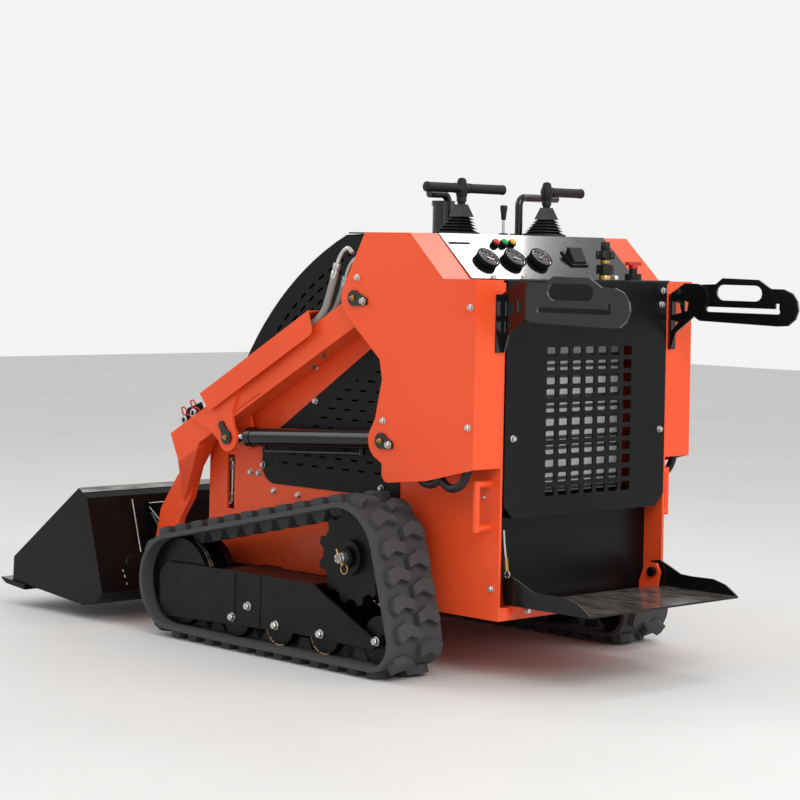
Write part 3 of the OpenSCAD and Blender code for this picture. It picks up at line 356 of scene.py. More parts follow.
# Bright steel strips and arcs laid on edges: painted highlights where light catches the bucket's lip
# and edge and the idlers' rims.
HIGHLIGHT_STEEL = Finish("painted_highlight_steel", (120, 118, 114), (188, 186, 182), 0.4, 0.14,
              metallic=0.8, drift_scale=26.0, stretch=(2.0, 0.4, 2.0))
# Bright bead finish, for real welds and for painted highlights along the gusset's edges.
WELD_AND_HIGHLIGHT = Finish("weld_bead_and_painted_highlight", (176, 175, 172), (214, 213, 210), 0.4, 0.1,
              metallic=0.1, drift_scale=60.0, grain_scale=300.0, grain_depth=0.3)
DIAL = Finish("dial_face", (58, 64, 70), (70, 76, 82), 0.3, 0.04,
              coat=1.0, edge_radius=0.0)
BRASS = Finish("bare_brass", (176, 138, 72), (198, 160, 92), 0.32, 0.08,
               metallic=0.9, drift_scale=50.0, edge_radius=0.0004)
TAN = Finish("dry_clay_ring", (150, 118, 84), (176, 148, 112), 0.7, 0.1,
             drift_scale=30.0, grain_scale=300.0, grain_depth=0.3)
RED_CAP = Finish("red_dust_cap", (196, 26, 30), (212, 38, 40), 0.38, 0.05,
                 grain_depth=0.04)
MARK = Finish("dial_mark", (196, 196, 190), (210, 210, 204), 0.4, 0.04,
              edge_radius=0.0)
RED_LENS = lens("red_lens", (196, 24, 18), (214, 34, 26))
GREEN_LENS = lens("green_lens", (24, 142, 66), (34, 160, 78))
AMBER_LENS = lens("amber_lens", (226, 158, 40), (238, 174, 56))
RED_KEY = Finish("red_key_plastic", (188, 28, 22), (204, 38, 30), 0.4, 0.05,
                 grain_depth=0.05)
FLOOR = Finish("studio_floor", (222, 222, 220), (226, 226, 224), 0.6, 0.04,
               drift_scale=1.2, grain_scale=60.0, grain_depth=0.01, edge_radius=0.0)


class Forge:
    """Gathers the geometry of one piece in mesh code and turns it into an object."""

    def __init__(self, name: str, finishes: list[Finish], body: str, slot: str) -> None:
        """Starts an empty piece.

        Args:
            name: Name of the piece.
            finishes: Finishes, in the order of the material indices.
            body: Body that the piece moves with, or nothing for a piece that stays fixed in the
                scene.
            slot: The record's material slot; kept but not used.
        """
        self.name = name
        self.finishes = finishes
        self.body = body
        self.slot = slot
        self.mesh = bmesh.new()

    @staticmethod
    def _basis(axis: Vector) -> Matrix:
        """Returns a rotation whose z column is the axis."""
        return axis.normalized().to_track_quat("Z", "Y").to_matrix().to_4x4()

    def turned(self, at: Vector, axis: Vector, profile: Sequence[Station], sides: int = 24,
               mat: int = 0, closed: bool = False) -> None:
        """Adds a turned form.

        Args:
            at: Foot of its axis.
            axis: Direction of its axis.
            profile: Radius and height pairs in millimetres.
            sides: Number of sides.
            mat: Material index.
            closed: Whether the profile is a ring that closes on itself.
        """
        frame = Matrix.Translation(at) @ self._basis(axis)
        rings: list[list[bmesh.types.BMVert]] = []
        for radius, height in profile:
            if radius < 1e-6:
                rings.append([self.mesh.verts.new(frame @ Vector((0, 0, height * MM)))])
                continue
            ring = []
            for k in range(sides):
                angle = 2 * math.pi * k / sides
                spot = Vector((math.cos(angle) * radius * MM, math.sin(angle) * radius * MM,
                               height * MM))
                ring.append(self.mesh.verts.new(frame @ spot))
            rings.append(ring)
        pairs = list(zip(rings, rings[1:]))
        if closed:
            pairs.append((rings[-1], rings[0]))
        for low, high in pairs:
            self._skin(low, high, mat)
        if not closed:
            for ring, flip in ((rings[0], True), (rings[-1], False)):
                if len(ring) > 2:
                    self._face(list(reversed(ring)) if flip else ring, mat)

    def _skin(self, low: list[bmesh.types.BMVert], high: list[bmesh.types.BMVert],
              mat: int) -> None:
        """Joins two rings, either of which may be one point."""
        count = max(len(low), len(high))
        for k in range(count):
            n = (k + 1) % count
            if len(low) == 1 and len(high) == 1:
                continue
            if len(low) == 1:
                self._face([low[0], high[n], high[k]], mat)
            elif len(high) == 1:
                self._face([low[k], low[n], high[0]], mat)
            else:
                self._face([low[k], low[n], high[n], high[k]], mat)

    def _face(self, corners: list[bmesh.types.BMVert], mat: int) -> None:
        """Adds one face with its material."""
        face = self.mesh.faces.new(corners)
        face.material_index = mat

    def tube(self, path: list[Vector], radius: float, sides: int = 12, mat: int = 0) -> None:
        """Adds a round tube along a path.

        Args:
            path: Points in metres.
            radius: Radius in millimetres.
            sides: Number of sides.
            mat: Material index.
        """
        self.loft(path, [radius] * len(path), sides, mat)

    def loft(self, path: list[Vector], radii: list[float], sides: int = 12, mat: int = 0) -> None:
        """Adds a round form whose radius changes along a path.

        Args:
            path: Points in metres.
            radii: Radius at each point in millimetres.
            sides: Number of sides.
            mat: Material index.
        """
        tangents = []
        for k in range(len(path)):
            before, after = path[max(0, k - 1)], path[min(len(path) - 1, k + 1)]
            tangents.append((after - before).normalized())
        start = Vector((0, 0, 1)) if abs(tangents[0].z) < 0.9 else Vector((1, 0, 0))
        normal = tangents[0].cross(start).normalized()
        rings = []
        for k, (spot, tangent) in enumerate(zip(path, tangents)):
            if k:
                normal = (normal - tangent * normal.dot(tangent)).normalized()
            side = tangent.cross(normal)
            ring = []
            for j in range(sides):
                angle = 2 * math.pi * j / sides
                offset = normal * math.cos(angle) + side * math.sin(angle)
                ring.append(self.mesh.verts.new(spot + offset * radii[k] * MM))
            rings.append(ring)
        for low, high in zip(rings, rings[1:]):
            self._skin(low, high, mat)
        self._face(list(reversed(rings[0])), mat)
        self._face(rings[-1], mat)

    def slab(self, outline: list[Vector], offset: Vector, mat: int = 0) -> None:
        """Adds a flat plate.

        Args:
            outline: Corners of one face, in metres.
            offset: Vector from that face to the other.
            mat: Material index.
        """
        near = [self.mesh.verts.new(p) for p in outline]
        far = [self.mesh.verts.new(p + offset) for p in outline]
        self._face(near, mat)
        self._face(list(reversed(far)), mat)
        for k in range(len(near)):
            n = (k + 1) % len(near)
            self._face([near[n], near[k], far[k], far[n]], mat)

    def block(self, low: Vector, high: Vector, mat: int = 0) -> None:
        """Adds a box between two corners."""
        outline = [Vector((low.x, low.y, low.z)), Vector((high.x, low.y, low.z)),
                   Vector((high.x, high.y, low.z)), Vector((low.x, high.y, low.z))]
        self.slab(outline, Vector((0, 0, high.z - low.z)), mat)

    def hex_bolt(self, at: Vector, axis: Vector, across: float, mat: int = 0,
                 washer: bool = True) -> None:
        """Adds a hexagon head on its washer.

        Args:
            at: Point of the face that it clamps.
            axis: Direction out of that face.
            across: Width across the flats in millimetres.
            mat: Material index.
            washer: Whether a washer lies under the head.
        """
        lift = WASHER_T if washer else 0.0
        if washer:
            self.turned(at, axis, [(across * 0.36, 0), (across * 0.68, 0),
                                   (across * 0.68, lift - 0.4), (across * 0.62, lift),
                                   (across * 0.36, lift)], 24, mat)
        reach = across / math.sqrt(3)
        foot = at + axis.normalized() * lift * MM
        self.turned(foot, axis, [(reach, 0), (reach, across * 0.46), (reach * 0.86, across * 0.56),
                                 (0, across * 0.56)], 6, mat)

    def place(self) -> Object:
        """Turns the gathered mesh into an object of the scene, reports it and returns it."""
        bmesh.ops.recalc_face_normals(self.mesh, faces=self.mesh.faces)
        data = bpy.data.meshes.new(self.name)
        self.mesh.to_mesh(data)
        self.mesh.free()
        piece = bpy.data.objects.new(self.name, data)
        bpy.context.scene.collection.objects.link(piece)
        LOG.info("piece %s", self.name)
        return piece

    def finish(self, smooth: float = 35.0, bevel: float = 0.0) -> Object:
        """Makes the object, dresses it and lets it ride on its body.

        Args:
            smooth: Largest angle that is shaded smooth, in degrees.
            bevel: Width of a geometric bevel in millimetres, or 0 for none.

        Returns:
            The finished object.
        """
        piece = self.place()
        data = piece.data
        for finish in self.finishes:
            data.materials.append(finish.build())
        if bevel > 0:
            modifier = piece.modifiers.new("soft_edges", "BEVEL")
            modifier.width = bevel * MM
            modifier.segments = 2
            modifier.limit_method = "ANGLE"
            modifier.angle_limit = math.radians(40)
        data.polygons.foreach_set("use_smooth", [True] * len(data.polygons))
        data.set_sharp_from_angle(angle=math.radians(smooth))
        if self.body:
            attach(piece, self.body)
        return piece


def curve_through(points: list[Vector], steps: int = 6) -> list[Vector]:
    """Runs a smooth curve through a few points.

    Args:
        points: Points in metres.
        steps: Points per stretch.

    Returns:
        The points of the curve.
    """
    ends = [points[0] * 2 - points[1], *points, points[-1] * 2 - points[-2]]
    result = []
    for a, b, c, d in zip(ends, ends[1:], ends[2:], ends[3:]):
        for k in range(steps):
            t = k / steps
            result.append(0.5 * ((2 * b) + (c - a) * t + (2 * a - 5 * b + 4 * c - d) * t * t
                                 + (3 * b - a - 3 * c + d) * t ** 3))
    result.append(points[-1].copy())
    return result


def arc_path(centre: Vector, radius: float, count: int, first: float = 0.0,
             step: float = 0.3) -> list[Vector]:
    """Runs an arc or an open ring around the y direction.

    Args:
        centre: Its centre in metres.
        radius: Its radius in millimetres.
        count: Number of points.
        first: Angle of the first point in radians, from the front upwards.
        step: Angle from one point to the next.

    Returns:
        The points of the arc.
    """
    angles = [first + step * k for k in range(count)]
    return [centre + Vector((math.cos(a), 0, math.sin(a))) * radius * MM for a in angles]


@dataclass
class Studio:
    """The camera at the photograph's place, the pale floor and the soft lights."""

    eye: Point = (-4.6284, 4.4639, 1.0404)
    yaw: float = -0.767325
    pitch: float = -0.00056
    roll: float = 0.019788
    focal_px: float = 2351.8
    frame_px: float = 800.0
    sensor_mm: float = 36.0
    principal_px: Station = (399.87, 255.77)
    view_reach: float = 100.0
    floor_reach: float = 14.0
    world_level: float = 0.72
    backdrop_level: float = 0.9
    aim: Point = (0.0, 0.0, 0.5)
    lamps: tuple[tuple[str, Point, float, float], ...] = (
        ("key_light", (-4.6, 1.9, 3.6), 3.0, 140.0),
        ("fill_light", (-4.0, -3.0, 3.0), 3.0, 45.0),
        ("front_light", (3.6, 2.6, 3.4), 3.0, 60.0),
        ("dash_panel", (-0.35, -2.26, 3.55), 0.5, 13.0))

    def build(self) -> None:
        """Makes the camera, world, floor and lights."""
        self.camera()
        self.world()
        self.floor()
        for lamp in self.lamps:
            self.light(*lamp)
        bpy.context.scene.view_settings.view_transform = "Standard"

    def camera(self) -> None:
        """Places the camera at the photograph's viewpoint."""
        forward = Vector((math.cos(self.yaw) * math.cos(self.pitch),
                          math.sin(self.yaw) * math.cos(self.pitch), math.sin(self.pitch)))
        right = forward.cross(Vector((0, 0, 1))).normalized()
        up = right.cross(forward)
        turn_cos, turn_sin = math.cos(self.roll), math.sin(self.roll)
        right, up = right * turn_cos + up * turn_sin, up * turn_cos - right * turn_sin
        basis = Matrix((right, up, -forward)).transposed().to_4x4()
        data = bpy.data.cameras.new("camera")
        data.sensor_width = self.sensor_mm
        data.lens = self.focal_px / self.frame_px * self.sensor_mm
        data.shift_x = (self.frame_px / 2 - self.principal_px[0]) / self.frame_px
        data.shift_y = (self.principal_px[1] - self.frame_px / 2) / self.frame_px
        data.clip_end = self.view_reach
        camera = bpy.data.objects.new("camera", data)
        camera.matrix_world = Matrix.Translation(Vector(self.eye)) @ basis
        bpy.context.scene.collection.objects.link(camera)
        bpy.context.scene.camera = camera

    def world(self) -> None:
        """Makes a plain soft world, brighter where the camera sees it."""
        world = bpy.data.worlds.new("studio_world")
        world.use_nodes = True
        tree = world.node_tree
        path = tree.nodes.new("ShaderNodeLightPath")
        level = ranged(tree, path.outputs["Is Camera Ray"],
                       {"To Min": self.world_level, "To Max": self.backdrop_level})
        wired(tree, tree.nodes["Background"], "Background",
              {"Color": (1.0, 1.0, 1.0, 1.0), "Strength": level})
        bpy.context.scene.world = world

    def floor(self) -> None:
        """Lays the pale floor."""
        mesh = bpy.data.meshes.new("floor")
        reach = self.floor_reach
        mesh.from_pydata([(-reach, -reach, 0), (reach, -reach, 0), (reach, reach, 0),
                          (-reach, reach, 0)], [], [(0, 1, 2, 3)])
        floor = bpy.data.objects.new("floor", mesh)
        floor.data.materials.append(FLOOR.build())
        bpy.context.scene.collection.objects.link(floor)

    def light(self, name: str, at: Point, size: float, power: float) -> None:
        """Hangs one soft lamp that looks at the machine.

        Args:
            name: Name of the lamp.
            at: Place in metres.
            size: Side of the lamp in metres.
            power: Power in watts.
        """
        data = bpy.data.lights.new(name, "AREA")
        data.size = size
        data.energy = power
        lamp = bpy.data.objects.new(name, data)
        lamp.location = Vector(at)
        aim = Vector(self.aim) - lamp.location
        lamp.rotation_euler = aim.to_track_quat("-Z", "Y").to_euler()
        bpy.context.scene.collection.objects.link(lamp)


@dataclass
class Dressing:
    """Gives every piece of the frame its finish."""

    groups: tuple[tuple[Finish, tuple[str, ...]], ...] = (
        (ORANGE, ("side_plate", "floor_plate", "front_plate", "tower", "tie_down", "arm_left",
                  "arm_right", "arm_leg", "cross_tubes", "hose_covers")),
        (GLOSS, ("dashboard", "hand_rests", "armrest")),
        (RUNNING, ("track_frame", "sprockets", "idlers", "rollers", "drive_motors")),
        (RUBBER, ("track_left", "track_right")),
        (CHROME, ("lift_rod", "tilt_rod")),
        (BARREL, ("lift_barrel", "tilt_barrel")),
        (GLOSS, ("chassis_pins", "arm_pins")),
        (PAD, ("platform",)),
        (CORE, ("radiator",)),
        (IRON, ("engine_block",)),
        (PLASTIC, ("joystick", "throttle_lever", "valve_and_switch", "gauges")),
    )

    def build(self, nodes: dict[str, Object]) -> None:
        """Assigns the finishes.

        Args:
            nodes: The frame's pieces by name.
        """
        for name, node in nodes.items():
            material = self.pick(name).build()
            if not node.material_slots:
                node.data.materials.append(material)
            for place in node.material_slots:
                place.material = material

    def pick(self, name: str) -> Finish:
        """Returns the finish of a node, black where no group names it."""
        for finish, stems in self.groups:
            if any(name.startswith(stem) for stem in stems):
                return finish
        return BLACK


@dataclass
class Fasteners:
    """Bolts of the panels, plates, towers, guards, pin flags, beams and track frames."""

    rear_panel: Stations = ((-286, 947), (-280, 912), (275, 584), (-280, 587))
    rail: Stations = ((208, 158), (-208, 158))
    side_plate: Stations = ((931, 430), (898, 430), (834, 387), (737, 384), (674, 728),
                            (23, 217))
    tower: Stations = ((314, 612), (418, 968), (16, 904), (17, 614))
    guard: Stations = ((878, 454), (672, 638), (415, 430))
    track_frame: Stations = ((228, 81), (432, 73), (603, 73), (775, 73), (712, 109))
    beam: Stations = ((556, 764), (594, 733))
    pin_flags: Stations = ((390, 909), (287, 554))
    shelf: Stations = ((50, 298), (18, 222))
    flag_y: float = 415.0
    beam_y: float = 394.0
    sheet_t: float = 4.0
    guard_t: float = 3.0
    panel_head: float = 12.5
    flag_head: float = 14.0
    frame_head: float = 17.0
    shelf_head: float = 12.0
    beam_head: float = 10.0

    def build(self) -> None:
        """Makes one piece of bolts for each body."""
        forge = Forge("panel_bolts", [ZINC], "chassis", "pin_steel")
        for x, spots in ((-self.sheet_t, self.rear_panel), (0.0, self.rail)):
            for y, z in spots:
                forge.hex_bolt(LAYOUT.at(x, y, z), Axis.REAR.way(), self.panel_head)
        for side in Side:
            for face, head, spots in (
                    (LAYOUT.side_plate_y, self.panel_head, self.side_plate),
                    (LAYOUT.tower_y, self.panel_head, self.tower),
                    (LAYOUT.side_plate_y + self.guard_t, self.panel_head, self.guard),
                    (self.flag_y, self.flag_head, self.pin_flags),
                    (LAYOUT.frame_y, self.frame_head, self.track_frame)):
                for x, z in spots:
                    forge.hex_bolt(LAYOUT.at(x, side.value * face, z), side.out(), head)
        for x, y in self.shelf:
            forge.hex_bolt(LAYOUT.on_shelf(x, y), Axis.UP.way(), self.shelf_head)
        forge.finish(30.0)
        arms = Forge("beam_bolts", [PIN], "arms", "pin_steel")
        for side in Side:
            for x, z in self.beam:
                arms.hex_bolt(LAYOUT.at(x, side.value * self.beam_y, z), side.out(),
                              self.beam_head, washer=False)
        arms.finish(30.0)


@dataclass
class Instruments:
    """Gauges and warning lamps on the sloping dashboard."""

    gauges: Stations = ((0.385, 215.0), (0.395, 116.0), (0.405, 18.0))
    lamps: Stations = ((0.765, 138.0), (0.77, 107.0), (0.775, 76.0))
    bezel: Stations = ((27.2, 11), (31.2, 10), (32.4, 13), (32.0, 15.5), (30.0, 16.6),
                       (27.6, 15.4))
    inner_rim: Stations = ((25.6, 9.2), (27.1, 9.2), (27.4, 14), (26.6, 14.6))
    dial: Stations = ((0, 9.2), (25.8, 9.2), (25.8, 9.8), (0, 9.8))
    needle_cap: Stations = ((4, 0.2), (4, 2.6), (0, 3.2))
    collar: Stations = ((7.6, 2), (10.9, 2), (11.3, 4), (10.9, 8.6), (9.4, 9.4), (7.6, 9))
    glass: Stations = ((9.0, 8), (9.2, 11), (8.0, 14), (4.6, 16), (0, 16.6))
    ticks: int = 9
    tick_ends: Station = (18.0, 23.0)
    sweep: Station = (-130.0, 130.0)
    needle_ends: Station = (-5.0, 19.0)
    needle_angle: float = -1.9
    needle_lift: float = 1.2

    def build(self) -> None:
        """Makes the bezels, dials and lamps."""
        normal = LAYOUT.dash_normal()
        rims = Forge("gauge_bezels", [PLASTIC, CHROME], "chassis", "control_plastic")
        dials = Forge("gauge_dials", [DIAL, MARK, RED_LENS], "chassis", "control_plastic")
        for share, y in self.gauges:
            foot = LAYOUT.on_dash(share, y)
            rims.turned(foot, normal, self.bezel, 48, 0, True)
            rims.turned(foot, normal, self.inner_rim, 48, 1, True)
            dials.turned(foot, normal, self.dial, 40, 0)
            self.marks(dials, foot, normal)
        rims.finish()
        dials.finish()
        lamps = Forge("warning_lamps", [RED_LENS, GREEN_LENS, AMBER_LENS, PLASTIC], "chassis",
                      "control_plastic")
        for index, (share, y) in enumerate(self.lamps):
            foot = LAYOUT.on_dash(share, y)
            lamps.turned(foot, normal, self.collar, 28, 3, True)
            lamps.turned(foot, normal, self.glass, 24, index)
        lamps.finish()

    def marks(self, forge: Forge, foot: Vector, normal: Vector) -> None:
        """Adds a ring of plain ticks and a needle to one dial.

        Args:
            forge: Piece that takes them.
            foot: Foot of the gauge on the dashboard.
            normal: Direction that it faces.
        """
        up = Vector((normal.z, 0, -normal.x)).normalized()
        across = normal.cross(up)
        face = foot + normal * self.dial[-1][1] * MM
        first, last = self.sweep
        for k in range(self.ticks):
            angle = math.radians(first + (last - first) * k / (self.ticks - 1))
            way = up * math.cos(angle) + across * math.sin(angle)
            wide = way.cross(normal).normalized() * 0.8 * MM
            inner, outer = (face + way * end * MM for end in self.tick_ends)
            forge.slab([inner - wide, outer - wide, outer + wide, inner + wide],
                       normal * 0.3 * MM, 1)
        turn = self.needle_angle
        way = (up * math.cos(turn) + across * math.sin(turn)).normalized()
        wide = way.cross(normal).normalized() * 1.2 * MM
        hub = face + normal * self.needle_lift * MM
        tail, tip = (hub + way * end * MM for end in self.needle_ends)
        forge.slab([tail - wide, tip - wide * 0.3, tip + wide * 0.3, tail + wide],
                   normal * 0.6 * MM, 2)
        forge.turned(face, normal, self.needle_cap, 20, 0)


@dataclass
class Levers:
    """Rubber sleeves and hub caps of the grip bars, throttle stem, valve knob and key."""

    lever_x: float = 330.0
    grip_z: float = 1203.0
    sleeves: Stations = ((-24.0, 108.0), (152.0, 259.0), (-333.0, -212.0))
    hubs: tuple[float, ...] = (130.0, -195.0)
    sleeve_r: float = 13.6
    throttle: Station = (290.0, 13.0)
    valve: Station = (60.0, -128.0)
    key: Station = (56.0, -235.0)
    valve_lobes: int = 6
    lobe_reach: float = 19.5
    nut_offset: Station = (14.0, -58.0)
    nut_across: float = 15.0
    hub: Stations = ((9.6, -44), (12.5, -24), (14.6, -18), (15.4, -4), (15.2, 8), (12.4, 15),
                     (11.6, 20), (8.4, 25.5), (0, 27.5))
    stem: Stations = ((3.6, 4), (3.6, 43))
    knob: Stations = ((5.5, 40), (6.6, 43), (7.4, 56), (9.4, 68), (9.8, 74), (8.6, 77.5),
                      (0, 78.5))
    lobe: Stations = ((4.2, 53), (6.2, 55), (6.4, 70), (4.6, 73.5), (0, 74))
    valve_foot: Stations = ((16.5, 0), (16.5, 9), (14.6, 13.5), (10, 14.2))
    valve_neck: Stations = ((11.6, 39), (12.4, 41), (12.4, 49), (11.6, 51))
    valve_top: Stations = ((11.4, 76), (12.2, 79), (12.2, 92), (10.4, 97), (0, 98))
    key_barrel: Stations = ((11.8, 28), (12.2, 30), (12.2, 37), (10.5, 38.5))
    key_outline: Stations = ((-8, -25), (0, -27.5), (8, -25), (8, -8), (10, 0), (8, 8), (8, 25),
                             (0, 27.5), (-8, 25), (-8, 8), (-10, 0), (-8, -8))
    key_z: float = 37.6
    key_t: float = 9.4

    def build(self) -> None:
        """Makes the sleeves, the hubs and the small controls."""
        self.grips()
        self.throttle_stem()
        self.valve_knob()
        self.key_switch()

    def grips(self) -> None:
        """Makes a flared sleeve on each arm of the bars and a cap on each hub."""
        forge = Forge("grip_sleeves", [BOOT_RUBBER], "chassis", "control_plastic")
        r = self.sleeve_r
        for low, high in self.sleeves:
            length = high - low
            profile = [(r - 2.5, -1.5), (r - 0.4, 0), (r, 3), (r - 1.0, 8), (r - 1.2, length - 8),
                       (r, length - 3), (r - 0.4, length), (r - 2.5, length + 1.5)]
            forge.turned(LAYOUT.at(self.lever_x, low, self.grip_z), Axis.LEFT.way(), profile, 32)
        for y in self.hubs:
            forge.turned(LAYOUT.at(self.lever_x, y, self.grip_z), Axis.UP.way(), self.hub, 32)
        forge.finish(50.0)

    def throttle_stem(self) -> None:
        """Makes the throttle's bright stem and its knob."""
        forge = Forge("throttle_stem", [CHROME, PLASTIC], "chassis", "control_plastic")
        foot = LAYOUT.at(*self.throttle, LAYOUT.dash_high[1])
        forge.turned(foot, Axis.UP.way(), self.stem, 20, 0)
        forge.turned(foot, Axis.UP.way(), self.knob, 28, 1)
        forge.finish(50.0)

    def valve_knob(self) -> None:
        """Makes the lobes of the star knob, the valve's brass foot and its nut."""
        x, y = self.valve
        foot = LAYOUT.on_shelf(x, y)
        up = Axis.UP.way()
        forge = Forge("valve_knob", [PLASTIC, BRASS, ZINC], "chassis", "control_plastic")
        for k in range(self.valve_lobes):
            angle = 2 * math.pi * k / self.valve_lobes
            way = Vector((math.cos(angle), math.sin(angle), 0))
            forge.turned(foot + way * self.lobe_reach * MM, up, self.lobe, 16, 0)
        forge.turned(foot, up, self.valve_foot, 12, 1)
        forge.turned(foot, up, self.valve_neck, 20, 1)
        forge.turned(foot, up, self.valve_top, 28, 0)
        nut = LAYOUT.on_shelf(x + self.nut_offset[0], y + self.nut_offset[1])
        forge.hex_bolt(nut, up, self.nut_across, 2)
        forge.finish(40.0)

    def key_switch(self) -> None:
        """Makes the red key on its switch."""
        x, y = self.key
        forge = Forge("battery_key", [RED_KEY], "chassis", "control_plastic")
        forge.turned(LAYOUT.on_shelf(x, y), Axis.UP.way(), self.key_barrel, 28)
        outline = [LAYOUT.on_shelf(x + a, y + b, self.key_z) for a, b in self.key_outline]
        forge.slab(outline, Axis.UP.way() * self.key_t * MM)
        forge.finish(30.0, 1.2)


@dataclass
class Undercarriage:
    """Hub nuts, broken clay arcs on two rollers, painted highlights on the idlers' rims, and the
    seams.
    """

    hub_y: float = 488.0
    stub: float = 13.0
    stub_r: float = 26.0
    nut_r: float = 14.0
    nut_h: float = 19.0
    crown_h: float = 6.5
    ring_pin_y: float = 516.0
    ring_pin: Station = (-20.0, 24.0)
    ring_pin_lean: Point = (0.5, 0.0, 0.866)
    ring_pin_wire: float = 2.3
    ring_r: float = 12.0
    ring_wire: float = 1.6
    ring_offset: Point = (-8.0, 0.0, -8.0)
    rollers: Stations = ((603.0, 73.0), (432.0, 73.0))
    clay_r: float = 52.0
    clay_y: float = 486.0
    clay: Stations = ((-4.0, -37.0), (-42.0, -68.0), (-73.0, -110.0))
    idler: Station = (1014.0, 140.0)
    # Bright arcs on the upper rear of the idlers' rims: painted highlights where light catches them.
    rim_r: float = 116.2
    rims: tuple[float, ...] = (468.0, 460.0)
    rim_arc: Station = (108.0, 156.0)
    clay_bead: float = 1.7
    rim_bead: float = 1.1
    seam_bead: float = 2.2
    seams: tuple[float, ...] = (666.0, 767.0)
    seam_z: Station = (62.0, 193.0)
    slots: int = 6

    def build(self) -> None:
        """Makes the nuts with their ring pins, the arcs and the seams."""
        nuts = Forge("hub_nuts", [ZINC, BRASS, RUNNING], "chassis", "pin_steel")
        arcs = Forge("clay_rings_and_rim_highlights", [TAN, HIGHLIGHT_STEEL], "chassis", "running_gear")
        seams = Forge("frame_seams", [RUNNING], "chassis", "running_gear")
        for side in Side:
            s = side.value
            self.castle_nut(nuts, side)
            for station in self.rollers:
                for span in self.clay:
                    self.arc(arcs, station, s * self.clay_y, self.clay_r, span, self.clay_bead, 0)
            # The idlers' rims get painted highlights: bright steel arcs where light catches them.
            for y in self.rims:
                self.arc(arcs, self.idler, s * y, self.rim_r, self.rim_arc, self.rim_bead, 1)
            for x in self.seams:
                ends = [LAYOUT.at(x, s * LAYOUT.frame_y, z) for z in self.seam_z]
                seams.tube(ends, self.seam_bead, 8)
        nuts.finish(30.0)
        arcs.finish()
        seams.finish()

    @staticmethod
    def arc(forge: Forge, centre: Station, y: float, radius: float, span: Station,
            thick: float, mat: int) -> None:
        """Adds a thin bead along part of a wheel's rim.

        Args:
            forge: Piece that takes it.
            centre: Centre of the wheel.
            y: Distance from the centre line, with its sign.
            radius: Radius of the arc in millimetres.
            span: Its first and last angle in degrees, from the front upwards.
            thick: Radius of the bead in millimetres.
            mat: Material index.
        """
        first, last = span
        count = max(6, round(abs(last - first) / 3))
        step = math.radians(last - first) / count
        middle = LAYOUT.at(centre[0], y, centre[1])
        forge.tube(arc_path(middle, radius, count + 1, math.radians(first), step), thick, 8, mat)

    def castle_nut(self, forge: Forge, side: Side) -> None:
        """Adds a dark stub, a slotted nut and a ring pin on one drive hub.

        Args:
            forge: Piece that takes them.
            side: Side of the machine.
        """
        x, z = LAYOUT.sprocket
        out = side.out()
        hub = LAYOUT.at(x, side.value * self.hub_y, z)
        forge.turned(hub, out, [(self.stub_r, -1), (self.stub_r, self.stub - 2),
                                (self.stub_r - 2, self.stub), (0, self.stub)], 40, 2)
        foot = hub + out * (self.stub - 5) * MM
        r = self.nut_r
        forge.turned(foot, out, [(r * 1.15, 5), (r * 1.15, self.nut_h - 2),
                                 (r * 1.02, self.nut_h), (r * 0.8, self.nut_h)], 6)
        for k in range(self.slots):
            angle = math.radians(360 * k / self.slots + 18)
            way = Vector((math.cos(angle), 0, math.sin(angle)))
            near = foot + out * self.nut_h * MM + way * r * 0.55 * MM
            far = near + way * r * 0.32 * MM
            width = Vector((-way.z, 0, way.x)) * r * 0.27 * MM
            forge.slab([near - width, far - width, far + width, near + width],
                       out * self.crown_h * MM)
        pin = LAYOUT.at(x, side.value * self.ring_pin_y, z)
        lean = Vector(self.ring_pin_lean)
        tail, tip = (pin + lean * reach * MM for reach in self.ring_pin)
        forge.tube([tail, tip], self.ring_pin_wire, 10, 1)
        middle = tail + Vector(self.ring_offset) * MM
        ring = arc_path(middle, self.ring_r, 20, math.pi / 2, -0.3)
        forge.tube(ring, self.ring_wire, 8, 1)


